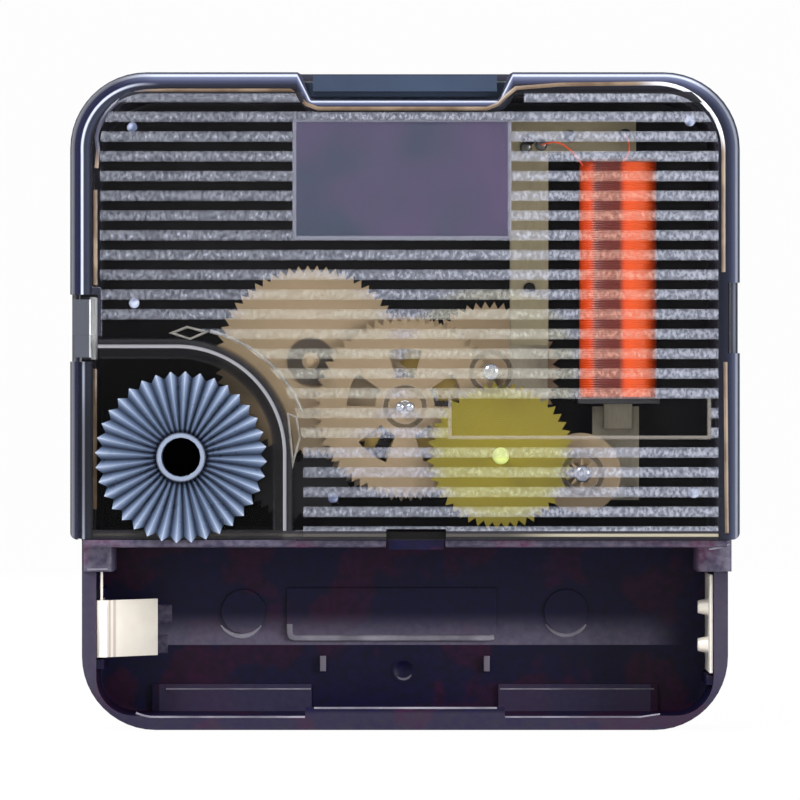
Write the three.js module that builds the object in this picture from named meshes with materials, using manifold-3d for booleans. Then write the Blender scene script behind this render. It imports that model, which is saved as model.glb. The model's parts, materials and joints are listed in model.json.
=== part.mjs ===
// Quartz clock movement, seen from its back. Millimetres, +Z up, +Y toward the dial.
// Depths are measured from the dial face toward the back, so depth d lies at y = -d.
// Heights in the gear train are measured from the centre axis.
import * as THREE from 'three';
import { mergeVertices } from 'three/addons/utils/BufferGeometryUtils.js';
import Module from 'manifold-3d';

const wasm = await Module();
wasm.setup();

// Driving dimensions
const caseWidth = 54.4;
const caseDepth = 16;
const bayHeight = 16;
const bushingLength = 7;
const hourPipeLength = 10;
const minutePipeLength = 13;
const secondsShaftLength = 16;
const seat = 0.3;
const clearance = 0.2;
const overrun = 2;
const mergeReach = 0.0001;

// Faces of round and curved shapes
const pinSides = 12;
const rodSides = 16;
const wideSides = 36;
const arcSteps = 6;
const wellSteps = 12;

// Counts and directions of the gear train
const rotorTeeth = 8;
const intermediateTeeth = 48;
const intermediatePinionTeeth = 12;
const secondsTeeth = 60;
const secondsPinionTeeth = 8;
const thirdTeeth = 64;
const thirdPinionTeeth = 8;
const minuteTeeth = 60;
const cannonTeeth = 16;
const motionTeeth = 48;
const motionPinionTeeth = 12;
const hourTeeth = 48;
const settingTeeth = 40;
const idlerTeeth = 43;
const knobGearTeeth = 36;
const ribRows = 23;
const dropRings = 5;
const degree = Math.PI / 180;
const thirdDirection = 154.1 * degree;
const intermediateDirection = -27.05 * degree;
const rotorDirection = -12.3 * degree;
const motionDirection = 22.2 * degree;
const spokes = 5;
const windowHalfAngle = 17 * degree;
const knobRidges = 36;
const ridgePhase = 7 * degree;

// Gear teeth: shares of the module and of the tooth pitch. A gear with many teeth has finer ones
const addendumShare = 0.9;
const dedendumShare = 1.3;
const rootWidthShare = 0.54;
const tipWidthShare = 0.16;
const fineTeeth = 30;
const fineDedendumShare = 1.6;
const bumpShare = 0.6;
const leafTipShare = 0.2;

// Turns shares of a driving dimension into lengths, and each wallShare into a wall
const sizes = (whole, shares) => Object.fromEntries(
  Object.entries(shares).map(([name, share]) => [name.replace('Share', ''), share * whole]),
);

// Housing across and up, as shares of the case's width
const housingShares = {
  caseWallShare: 0.022059, coverOverhangShare: 0.014706, skirtThicknessShare: 0.011029,
  ribPitchShare: 0.030349, ribWidthShare: 0.016176, partitionThicknessShare: 0.012868,
  centreRiseShare: 0.205882, caseCornerShare: 0.113971, bayCornerShare: 0.058824,
  coverCornerShare: 0.117647, coverDropShare: 0.204044, lowCornerShare: 0.011029,
  bossRadiusShare: 0.029412, postRadiusShare: 0.023897, idlerPostRadiusShare: 0.025735,
};
const {
  caseWall, coverOverhang, skirtThickness, ribPitch, ribWidth, partitionThickness, centreRise, caseCorner,
  bayCorner, coverCorner, coverDrop, lowCorner, bossRadius, postRadius, idlerPostRadius,
} = sizes(caseWidth, housingShares);

// Battery tray and clips across and up, as shares of the case's width
const trayShares = {
  blockReachShare: 0.047794, tabHalfShare: 0.042279, tabAcrossShare: 0.017096, tabDropShare: 0.020221,
  beadHalfShare: 0.154412, beadReachShare: 0.012868, ledgeStartShare: 0.147059, ledgeEndShare: 0.397059,
  wedgeThicknessShare: 0.009191, wedgeAcrossShare: 0.128676, panelLeftShare: -0.185662,
  panelRightShare: 0.143382, dotRadiusShare: 0.034926, dotAcrossShare: 0.253676,
  guideReachShare: 0.011029, guideThicknessShare: 0.014706, barHalfShare: 0.141544, barLowShare: 0.014706,
  barHighShare: 0.01011, hookLowShare: 0.077206, hookHighShare: 0.165441, hookOutShare: 0.011029,
  hookInShare: 0.016544,
};
const {
  blockReach, tabHalf, tabAcross, tabDrop, beadHalf, beadReach, ledgeStart, ledgeEnd, wedgeThickness,
  wedgeAcross, panelLeft, panelRight, dotRadius, dotAcross, guideReach, guideThickness, barHalf, barLow,
  barHigh, hookLow, hookHigh, hookOut, hookIn,
} = sizes(caseWidth, trayShares);

// Battery tray, up from its lower edge, as shares of the bay's height
const bayShares = {
  blockHeightShare: 0.1625, ledgeHeightShare: 0.14375, wedgeHeightShare: 0.08125, wedgeUpShare: 0.36875,
  panelLowShare: 0.46875, panelHighShare: 0.73125, dotUpShare: 0.60625, contactFootShare: 0.38125,
  contactHeadShare: 0.68125, positiveFootShare: 0.296875, positiveHeadShare: 0.81875,
  lowerBumpShare: 0.44375, upperBumpShare: 0.64375,
};
const {
  blockHeight, ledgeHeight, wedgeHeight, wedgeUp, panelLow, panelHigh, dotUp, contactFoot, contactHead,
  positiveFoot, positiveHead, lowerBump, upperBump,
} = sizes(bayHeight, bayShares);

// Cover's ribs, bare places, notches and knob well, as shares of the case's width
const coverShares = {
  ribLeftShare: -0.46875, ribRightShare: 0.481618, ribTopShare: 0.476287, ribBreakLeftShare: -0.15625,
  ribBreakRightShare: 0.182904, plateLeftShare: -0.172794, plateRightShare: 0.163603,
  plateLowShare: 0.257353, plateHighShare: 0.441176, windowLeftShare: 0.071691,
  windowRightShare: 0.465074, windowLowShare: -0.044118, windowHighShare: 0.012868,
  bandRadiusShare: 0.194853, notchHalfShare: 0.165441, notchDropShare: 0.042279,
  notchSlopeShare: 0.025735, leftNotchLowShare: 0.069853, leftNotchHighShare: 0.172794,
  leftNotchReachShare: 0.042279, rightNotchLowShare: 0.082721, rightNotchHighShare: 0.191176,
  rightNotchReachShare: 0.018382, tabNotchHalfShare: 0.045956, tabNotchRiseShare: 0.016544,
  wellAcrossShare: -0.351103, wellUpShare: -0.07261, wellRadiusShare: 0.163603, wellWallShare: 0.015625,
};
const {
  ribLeft, ribRight, ribTop, ribBreakLeft, ribBreakRight, plateLeft, plateRight, plateLow, plateHigh,
  windowLeft, windowRight, windowLow, windowHigh, bandRadius, notchHalf, notchDrop, notchSlope,
  leftNotchLow, leftNotchHigh, leftNotchReach, rightNotchLow, rightNotchHigh, rightNotchReach,
  tabNotchHalf, tabNotchRise, wellAcross, wellUp, wellRadius, wellWall,
} = sizes(caseWidth, coverShares);

// Gear train across, as shares of the case's width
const trainShares = {
  trainModuleShare: 0.004596, minuteModuleShare: 0.004774, motionModuleShare: 0.004458,
  hourModuleShare: 0.004756, settingModuleShare: 0.004458, arborRadiusShare: 0.008272,
  pivotRadiusShare: 0.005515, secondsShaftRadiusShare: 0.009191, minutePipeRadiusShare: 0.029412,
  minutePipeBoreShare: 0.014706, hourPipeRadiusShare: 0.045956, hourPipeBoreShare: 0.034007,
  bushingRadiusShare: 0.071691, bushingBoreShare: 0.050551, collarRadiusShare: 0.119485,
  windowInnerShare: 0.045956, windowOuterShare: 0.090074, gearHubRadiusShare: 0.044118,
  clutchCollarShare: 0.042279, clutchHubRadiusShare: 0.053309, armLengthShare: 0.084559,
  armWidthShare: 0.018382, thirdHubRadiusShare: 0.036765, rotorDiscRadiusShare: 0.0625,
  rotorHubRadiusShare: 0.016544,
};
const {
  trainModule, minuteModule, motionModule, hourModule, settingModule, arborRadius, pivotRadius,
  secondsShaftRadius, minutePipeRadius, minutePipeBore, hourPipeRadius, hourPipeBore, bushingRadius,
  bushingBore, collarRadius, windowInner, windowOuter, gearHubRadius, clutchCollar, clutchHubRadius,
  armLength, armWidth, thirdHubRadius, rotorDiscRadius, rotorHubRadius,
} = sizes(caseWidth, trainShares);

// Setting knob across, as shares of the case's width
const knobShares = {
  knobAcrossShare: -0.344669, knobUpShare: -0.077206, knobTipShare: 0.132353, knobHubShare: 0.037684,
  ridgeStartShare: 0.045037, knobHoleShare: 0.030331, knobRidgeRiseShare: 0.009191,
  knobStemRadiusShare: 0.023897, knobPinRadiusShare: 0.011029, valleyInsetShare: 0.01011,
};
const {
  knobAcross, knobUp, knobTip, knobHub, ridgeStart, knobHole, knobRidgeRise, knobStemRadius,
  knobPinRadius, valleyInset,
} = sizes(caseWidth, knobShares);

// Motor across and up, as shares of the case's width
const motorShares = {
  magnetRadiusShare: 0.040441, statorGapShare: 0.009191, statorRingShare: 0.056985,
  statorLeftShare: 0.163603, statorLegShare: 0.058824, statorStripShare: 0.292279,
  statorRightShare: 0.36489, statorFootShare: -0.145221, statorHighShare: 0.441176,
  coilLeftShare: 0.268382, coilRightShare: 0.395221, coilLowShare: 0.004596, coilHighShare: 0.391544,
  coreWidthShare: 0.044118, coreOverlapShare: 0.038603, flangeThicknessShare: 0.009191,
  tubeWallShare: 0.014706, windingInsetShare: 0.002757, windingCornerShare: 0.029412,
};
const {
  magnetRadius, statorGap, statorRing, statorLeft, statorLeg, statorStrip, statorRight, statorFoot,
  statorHigh, coilLeft, coilRight, coilLow, coilHigh, coreWidth, coreOverlap, flangeThickness, tubeWall,
  windingInset, windingCorner,
} = sizes(caseWidth, motorShares);

// Circuit board and contacts across and up, as shares of the case's width
const boardShares = {
  boardLeftShare: 0.163603, boardRightShare: 0.358456, boardArmShare: 0.058824, boardLowShare: 0.095588,
  boardHighShare: 0.444853, boardBarShare: 0.049632, boardPostRadiusShare: 0.012868,
  boardPinRadiusShare: 0.007353, canRadiusShare: 0.018382, canLengthShare: 0.110294,
  dropRadiusShare: 0.025735, contactThicknessShare: 0.005515, leafReachShare: 0.077206,
  bumpRiseShare: 0.016544, bumpRadiusShare: 0.016544,
};
const {
  boardLeft, boardRight, boardArm, boardLow, boardHigh, boardBar, boardPostRadius, boardPinRadius,
  canRadius, canLength, dropRadius, contactThickness, leafReach, bumpRise, bumpRadius,
} = sizes(caseWidth, boardShares);

// Depths of the housing, from the dial face, as shares of the case's depth
const housingDepthShares = {
  floorThicknessShare: 0.0875, plateThicknessShare: 0.05, ribHeightShare: 0.025, bossRiseShare: 0.06875,
  trayRimShare: 0.71875, skirtDepthShare: 0.3125, tabDepthShare: 0.8875, beadDepthShare: 0.0375,
  ledgeDepthShare: 0.025, wedgeDepthShare: 0.075, panelRiseShare: 0.01875, barDepthShare: 0.9625,
  postRiseShare: 0.025, wellFloorDepthShare: 0.76875, wellFloorThicknessShare: 0.0375,
};
const {
  floorThickness, plateThickness, ribHeight, bossRise, trayRim, skirtDepth, tabDepth, beadDepth,
  ledgeDepth, wedgeDepth, panelRise, barDepth, postRise, wellFloorDepth, wellFloorThickness,
} = sizes(caseDepth, housingDepthShares);

// Depths of the layers of the train, from the dial face, as shares of the case's depth
const layerShares = {
  wheelThicknessShare: 0.04375, arborRiseShare: 0.05625, collarHeightShare: 0.0625,
  hourWheelDepthShare: 0.10625, motionPinionDepthShare: 0.10625, cannonDepthShare: 0.18125,
  motionWheelDepthShare: 0.2, settingDepthShare: 0.29375, clutchDepthShare: 0.35625,
  thirdPinionDepthShare: 0.40625, minuteWheelDepthShare: 0.43125, secondsPinionDepthShare: 0.625,
  thirdWheelDepthShare: 0.64375, secondsWheelDepthShare: 0.71875, rotorPinionDepthShare: 0.775,
  intermediateWheelDepthShare: 0.7875, rotorDiscDepthShare: 0.55, gearHubRiseShare: 0.05,
  springThicknessShare: 0.015625, armRiseShare: 0.04375,
};
const {
  wheelThickness, arborRise, collarHeight, hourWheelDepth, motionPinionDepth, cannonDepth,
  motionWheelDepth, settingDepth, clutchDepth, thirdPinionDepth, minuteWheelDepth, secondsPinionDepth,
  thirdWheelDepth, secondsWheelDepth, rotorPinionDepth, intermediateWheelDepth, rotorDiscDepth,
  gearHubRise, springThickness, armRise,
} = sizes(caseDepth, layerShares);

// Depths of the knob, the motor, the board and the contacts, as shares of the case's depth
const innerShares = {
  stemFootShare: 0.2125, knobDepthShare: 0.825, knobTopShare: 0.9875, knobBaseShare: 0.0625,
  knobGrooveShare: 0.075, valleyDropShare: 0.05625, innerDropShare: 0.028125, magnetFromShare: 0.275,
  magnetToShare: 0.5125, statorDepthShare: 0.3625, statorThicknessShare: 0.05625,
  coreThicknessShare: 0.05625, coilHalfDepthShare: 0.19375, boardDepthShare: 0.575,
  boardThicknessShare: 0.05, dropRiseShare: 0.05625, bumpDepthShare: 0.54, leafFoldShare: 0.6625,
  leafTipShare: 0.325,
};
const {
  stemFoot, knobDepth, knobTop, knobBase, knobGroove, valleyDrop, innerDrop, magnetFrom, magnetTo,
  statorDepth, statorThickness, coreThickness, coilHalfDepth, boardDepth, boardThickness, dropRise,
  bumpDepth, leafFold, leafTip,
} = sizes(caseDepth, innerShares);

// Lengths that follow from others
const slip = clearance / 4;
const centreHeight = bayHeight + centreRise;
const coverHalf = caseWidth / 2 + coverOverhang;
const caseHalf = caseWidth / 2;
const bayEnd = caseHalf - caseWall;
const plateDepth = caseDepth - ribHeight;
const plateInner = plateDepth - plateThickness;
const wallTop = plateInner - seat;
const bossTip = plateInner - bossRise;
const statorTop = statorDepth + statorThickness;
const coilMiddle = (coilLeft + coilRight) / 2;
const coreDepth = statorTop;
const coilDepthMiddle = coreDepth + coreThickness / 2;
const coreEnd = coilHigh + coreOverlap;
const contactLow = contactFoot - centreHeight;
const contactHigh = contactHead - centreHeight;
const positiveLow = positiveFoot - centreHeight;
const positiveHigh = positiveHead - centreHeight;

// Axes of the train, as directions from the axis before
const pitchRadius = (gearModule, teeth) => gearModule * teeth / 2;
const centreDistance = (gearModule, a, b) => gearModule * (a + b) / 2;
const centre = new THREE.Vector2(0, 0);

function step(from, direction, distance) {
  return new THREE.Vector2(
    from.x + distance * Math.cos(direction),
    from.y + distance * Math.sin(direction),
  );
}

const thirdAxis = step(centre, thirdDirection, centreDistance(minuteModule, thirdPinionTeeth, minuteTeeth));
const intermediateAxis = step(
  centre,
  intermediateDirection,
  centreDistance(trainModule, intermediatePinionTeeth, secondsTeeth),
);
const rotorAxis = step(
  intermediateAxis,
  rotorDirection,
  centreDistance(trainModule, rotorTeeth, intermediateTeeth),
);
const motionAxis = step(centre, motionDirection, centreDistance(motionModule, cannonTeeth, motionTeeth));
const knobAxis = new THREE.Vector2(knobAcross, knobUp);
const wellAxis = new THREE.Vector2(wellAcross, wellUp);

// The idler stands where its two centre distances meet, below the line from the centre to the knob
const idlerReach = centreDistance(settingModule, settingTeeth, idlerTeeth);
const idlerToKnob = centreDistance(settingModule, knobGearTeeth, idlerTeeth);
const knobReach = knobAxis.length();
const idlerAngle = Math.acos(
  (knobReach ** 2 + idlerReach ** 2 - idlerToKnob ** 2) / (2 * knobReach * idlerReach),
);
const knobDirection = Math.atan2(knobAxis.y, knobAxis.x);
const idlerAxis = step(centre, knobDirection + idlerAngle, idlerReach);

// The third wheel's module follows from the fixed distance between its two axes
const thirdWheelModule = 2 * thirdAxis.length() / (thirdTeeth + secondsPinionTeeth);

// Posts that hold the stator and the circuit board
const statorPosts = [
  new THREE.Vector2(coilMiddle, coreEnd - coreOverlap / 2),
  new THREE.Vector2(statorRight - boardPostRadius, statorFoot + boardPostRadius),
];
const boardPosts = [
  new THREE.Vector2(boardLeft + boardArm / 2, boardLow + boardArm + boardArm / 2),
  new THREE.Vector2(boardLeft + boardArm / 2, boardHigh - boardArm / 2),
  new THREE.Vector2(coilLeft - boardPostRadius, boardHigh - boardBar / 2),
];

// Materials
const finish = (color, roughness, metalness = 0) =>
  new THREE.MeshStandardMaterial({ color, roughness, metalness });
const blackPlastic = () => finish(0x1a1720, 0.45);
const clearPlastic = () => {
  const clear = finish(0x9aa0ae, 0.15);
  clear.transparent = true;
  clear.opacity = 0.4;
  return clear;
};
const beigePlastic = () => finish(0xc9b797, 0.5);
const greenPlastic = () => finish(0xa9a033, 0.45);
const bluePlastic = () => finish(0x7f96b8, 0.35);
const orangeWire = () => finish(0xf0501e, 0.4);
const darkResin = () => finish(0x101012, 0.3);
const boardTan = () => finish(0xb49b6e, 0.6);
const nickel = () => finish(0xd8d8d4, 0.25, 0.9);
const steel = () => finish(0xb9bcc0, 0.3, 0.9);
const brass = () => finish(0xc8a24a, 0.3, 0.9);
const ferrite = () => finish(0x3a3a3e, 0.5, 0.3);

// Solids and booleans
function solid(geometry) {
  const bare = geometry.clone();
  bare.deleteAttribute('normal');
  bare.deleteAttribute('uv');
  const merged = mergeVertices(bare, mergeReach);
  const corners = merged.index.array;
  const faces = [];
  for (let i = 0; i < corners.length; i += 3) {
    const face = corners.slice(i, i + 3);
    if (new Set(face).size === 3) {
      faces.push(...face);
    }
  }
  return new wasm.Manifold(new wasm.Mesh({
    numProp: 3,
    vertProperties: new Float32Array(merged.attributes.position.array),
    triVerts: new Uint32Array(faces),
  }));
}

const join = (first, ...others) => others.reduce((whole, other) => whole.add(other), first);
const cut = (first, ...others) => others.reduce((whole, other) => whole.subtract(other), first);

function toMesh(name, body, material) {
  const raw = body.getMesh();
  const geometry = new THREE.BufferGeometry();
  geometry.setAttribute('position', new THREE.BufferAttribute(new Float32Array(raw.vertProperties), 3));
  geometry.setIndex(new THREE.BufferAttribute(new Uint32Array(raw.triVerts), 1));
  geometry.computeVertexNormals();
  const mesh = new THREE.Mesh(geometry, material);
  mesh.name = name;
  return mesh;
}

// A flat outline in x and z, given thickness from one depth to a greater one
function plate(outline, from, to, segments = arcSteps) {
  const geometry = new THREE.ExtrudeGeometry(outline, {
    depth: to - from,
    bevelEnabled: false,
    curveSegments: segments,
  });
  geometry.rotateX(Math.PI / 2);
  geometry.translate(0, -from, 0);
  return solid(geometry);
}

function box(x0, x1, z0, z1, from, to) {
  const geometry = new THREE.BoxGeometry(x1 - x0, to - from, z1 - z0);
  geometry.translate((x0 + x1) / 2, -(from + to) / 2, (z0 + z1) / 2);
  return solid(geometry);
}

// A round bar or tube along the depth, at a place in x and z
function rod(at, radius, from, to, bore = 0, sides = rodSides) {
  const corners = [[bore, from], [radius, from], [radius, to], [bore, to]];
  const profile = corners.map(([across, depth]) => new THREE.Vector2(across, depth));
  if (bore > 0) {
    profile.push(profile[0]);
  }
  const geometry = new THREE.LatheGeometry(profile, sides);
  geometry.rotateX(Math.PI);
  geometry.translate(at.x, 0, at.y);
  return solid(geometry);
}

function roundedOutline(x0, x1, z0, z1, topRadius, bottomRadius) {
  const shape = new THREE.Shape();
  shape.moveTo(x0 + bottomRadius, z0);
  shape.lineTo(x1 - bottomRadius, z0);
  shape.absarc(x1 - bottomRadius, z0 + bottomRadius, bottomRadius, -Math.PI / 2, 0, false);
  shape.lineTo(x1, z1 - topRadius);
  shape.absarc(x1 - topRadius, z1 - topRadius, topRadius, 0, Math.PI / 2, false);
  shape.lineTo(x0 + topRadius, z1);
  shape.absarc(x0 + topRadius, z1 - topRadius, topRadius, Math.PI / 2, Math.PI, false);
  shape.lineTo(x0, z0 + bottomRadius);
  shape.absarc(x0 + bottomRadius, z0 + bottomRadius, bottomRadius, Math.PI, -Math.PI / 2, false);
  return shape;
}

// Gears

function gearOutline(gearModule, teeth, phase, at) {
  const fine = teeth > fineTeeth;
  const tip = pitchRadius(gearModule, teeth) + addendumShare * gearModule;
  const root = pitchRadius(gearModule, teeth) - (fine ? fineDedendumShare : dedendumShare) * gearModule;
  const pitch = 2 * Math.PI / teeth;
  const shape = new THREE.Shape();
  for (let tooth = 0; tooth < teeth; tooth += 1) {
    const middle = phase + tooth * pitch;
    const halfRoot = rootWidthShare * pitch / 2;
    const halfTip = tipWidthShare * pitch / 2;
    const corners = fine
      ? [[root, middle - pitch / 2], [tip, middle]]
      : [
        [root, middle - halfRoot], [tip, middle - halfTip],
        [tip, middle + halfTip], [root, middle + halfRoot],
      ];
    corners.forEach(([radius, angle], corner) => {
      const x = at.x + radius * Math.cos(angle);
      const z = at.y + radius * Math.sin(angle);
      if (tooth === 0 && corner === 0) {
        shape.moveTo(x, z);
      } else {
        shape.lineTo(x, z);
      }
    });
  }
  shape.closePath();
  return shape;
}

function gear(at, gearModule, teeth, phase, from, to) {
  return plate(gearOutline(gearModule, teeth, phase, at), from, to);
}

// The phase that puts a gap of the driven gear where the driver has a tooth
function meshedPhase(driverPhase, driverTeeth, drivenTeeth, driverAt, drivenAt) {
  const direction = Math.atan2(drivenAt.y - driverAt.y, drivenAt.x - driverAt.x);
  const offset = (direction - driverPhase) * driverTeeth / (2 * Math.PI);
  return direction + Math.PI + (offset * 2 + 1) * Math.PI / drivenTeeth;
}

const rotorPhase = 0;
const intermediatePhase = meshedPhase(
  rotorPhase, rotorTeeth, intermediateTeeth, rotorAxis, intermediateAxis,
);
const secondsPhase = meshedPhase(0, intermediatePinionTeeth, secondsTeeth, intermediateAxis, centre);
const thirdPhase = meshedPhase(0, secondsPinionTeeth, thirdTeeth, centre, thirdAxis);
const minutePhase = meshedPhase(0, thirdPinionTeeth, minuteTeeth, thirdAxis, centre);
const motionPhase = meshedPhase(0, cannonTeeth, motionTeeth, centre, motionAxis);
const hourPhase = meshedPhase(0, motionPinionTeeth, hourTeeth, motionAxis, centre);
const idlerPhase = meshedPhase(0, settingTeeth, idlerTeeth, centre, idlerAxis);
const knobPhase = meshedPhase(idlerPhase, idlerTeeth, knobGearTeeth, idlerAxis, knobAxis);

// Windows between the spokes of a wheel, each a sector between two radii
function windows(at, inner, outer) {
  return Array.from({ length: spokes }, (_, i) => {
    const middle = Math.PI / 2 + i * 2 * Math.PI / spokes;
    const shape = new THREE.Shape();
    shape.absarc(at.x, at.y, outer, middle - windowHalfAngle, middle + windowHalfAngle, false);
    shape.absarc(at.x, at.y, inner, middle + windowHalfAngle, middle - windowHalfAngle, true);
    return plate(shape, 0, caseDepth);
  });
}

// Front case: floor, outer wall, partition, battery tray and clips
function frontCase() {
  const lower = -centreHeight;
  const outer = roundedOutline(-caseHalf, caseHalf, lower, caseHalf, caseCorner, caseCorner);
  const inner = roundedOutline(
    -caseHalf + caseWall, caseHalf - caseWall, lower + caseWall, caseHalf - caseWall,
    caseCorner - caseWall, bayCorner,
  );
  const partitionLow = lower + bayHeight;
  const partitionHigh = partitionLow + partitionThickness;
  let body = cut(plate(outer, 0, wallTop), plate(inner, floorThickness, wallTop + overrun));
  const aboveTray = box(
    -caseHalf - overrun, caseHalf + overrun, lower - overrun, partitionLow, trayRim, wallTop + overrun,
  );
  body = cut(body, aboveTray);
  body = join(body, box(
    -caseHalf + caseWall / 2, caseHalf - caseWall / 2, partitionLow, partitionHigh,
    floorThickness / 2, wallTop,
  ));

  // Battery tray: corner blocks, centre tab, stepped lower wall, cradle ledges and wedge ribs
  const blockDepth = floorThickness * 2;
  for (const side of [-1, 1]) {
    const outerX = side * (caseHalf - caseWall / 2);
    const innerX = side * (caseHalf - blockReach);
    body = join(body, box(
      Math.min(outerX, innerX), Math.max(outerX, innerX), partitionLow - blockHeight,
      partitionLow + partitionThickness / 2, floorThickness / 2, blockDepth,
    ));
  }
  body = join(body, box(
    tabAcross - tabHalf, tabAcross + tabHalf, partitionLow - tabDrop + partitionThickness / 2, partitionHigh,
    tabDepth - caseWall, wallTop,
  ));
  body = join(body, box(
    -beadHalf, beadHalf, lower + caseWall / 2, lower + caseWall + beadReach, trayRim - beadDepth, trayRim,
  ));
  for (const side of [-1, 1]) {
    const near = side * ledgeStart;
    const far = side * ledgeEnd;
    body = join(body, box(
      Math.min(near, far), Math.max(near, far), lower + caseWall / 2, lower + caseWall + ledgeHeight,
      floorThickness / 2, floorThickness + ledgeDepth,
    ));
    const wedgeX = side * wedgeAcross;
    body = join(body, box(
      wedgeX - wedgeThickness / 2, wedgeX + wedgeThickness / 2, lower + wedgeUp - wedgeHeight,
      lower + wedgeUp, floorThickness / 2, floorThickness + wedgeDepth / 2,
    ));
  }
  body = join(body, box(
    panelLeft, panelRight, lower + panelLow, lower + panelHigh, floorThickness / 2,
    floorThickness + panelRise,
  ));
  for (const side of [-1, 1]) {
    body = join(body, rod(
      new THREE.Vector2(side * dotAcross, lower + dotUp), dotRadius, floorThickness / 2,
      floorThickness + panelRise,
    ));
  }

  // Contact guides behind the two contacts
  const guides = [
    [-1, contactLow - guideThickness - clearance],
    [-1, contactHigh + clearance],
    [1, positiveLow - guideThickness - clearance],
    [1, positiveHigh + clearance],
  ];
  for (const [side, up] of guides) {
    const wallX = side * (caseHalf - caseWall / 2);
    const tipX = side * (caseHalf - caseWall - guideReach);
    body = join(body, box(
      Math.min(wallX, tipX), Math.max(wallX, tipX), up, up + guideThickness, floorThickness / 2,
      trayRim - guideThickness,
    ));
  }

  // Clips: a bar in the upper notch and a hook in the left notch
  body = join(body, box(
    -barHalf, barHalf, caseHalf - barLow, caseHalf + barHigh, plateInner - caseWall * 2, barDepth,
  ));
  body = join(body, box(
    -caseHalf - hookOut, -caseHalf + hookIn, hookLow, hookHigh, wallTop - caseWall * 2, barDepth,
  ));

  // The walls stop short of the cover's knob well
  const wellRoom = plate(
    wellOutline(wellRadius + wellWall + clearance, caseWidth), wellFloorDepth - seat, caseDepth + overrun,
  );
  body = cut(body, wellRoom);

  // Bearing posts on the floor, and studs that wheels turn on
  for (const at of [thirdAxis, intermediateAxis, rotorAxis]) {
    body = join(body, rod(at, postRadius, floorThickness / 2, floorThickness + postRise));
    body = cut(body, rod(
      at, pivotRadius + clearance, floorThickness / 2, floorThickness + overrun, 0, pinSides,
    ));
  }
  body = join(body, rod(motionAxis, arborRadius, floorThickness / 2, motionWheelDepth + wheelThickness * 2));
  body = join(body, rod(idlerAxis, idlerPostRadius, floorThickness / 2, settingDepth - seat));
  body = join(body, rod(idlerAxis, arborRadius, floorThickness / 2, settingDepth + wheelThickness * 2));
  body = join(body, rod(knobAxis, knobStemRadius * 2, floorThickness / 2, stemFoot - seat));
  body = cut(body, rod(knobAxis, knobPinRadius + clearance, floorThickness, stemFoot + overrun));

  // Posts under the circuit board and under the stator
  const boardPinTop = boardDepth + boardThickness + boardPinRadius;
  for (const at of boardPosts) {
    body = join(body, rod(at, boardPostRadius, floorThickness / 2, boardDepth));
    body = join(body, rod(at, boardPinRadius, boardDepth - boardPinRadius, boardPinTop, 0, pinSides));
  }
  for (const at of statorPosts) {
    body = join(body, rod(at, boardPostRadius, floorThickness / 2, statorDepth));
    body = join(body, rod(at, boardPinRadius, floorThickness / 2, statorTop + boardPinRadius, 0, pinSides));
  }

  const bushingHole = rod(centre, bushingRadius + clearance, -overrun, floorThickness + overrun);
  return toMesh('front_case', cut(body, bushingHole), blackPlastic());
}

// Back cover: ribbed plate, skirt, knob well, notches and bearing bosses
function wellOutline(radius, reach) {
  const shape = new THREE.Shape();
  shape.moveTo(-reach, -reach);
  shape.lineTo(wellAxis.x + radius, -reach);
  shape.lineTo(wellAxis.x + radius, wellAxis.y);
  shape.absarc(wellAxis.x, wellAxis.y, radius, 0, Math.PI / 2, false);
  shape.lineTo(-reach, wellAxis.y + radius);
  return shape;
}

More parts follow.
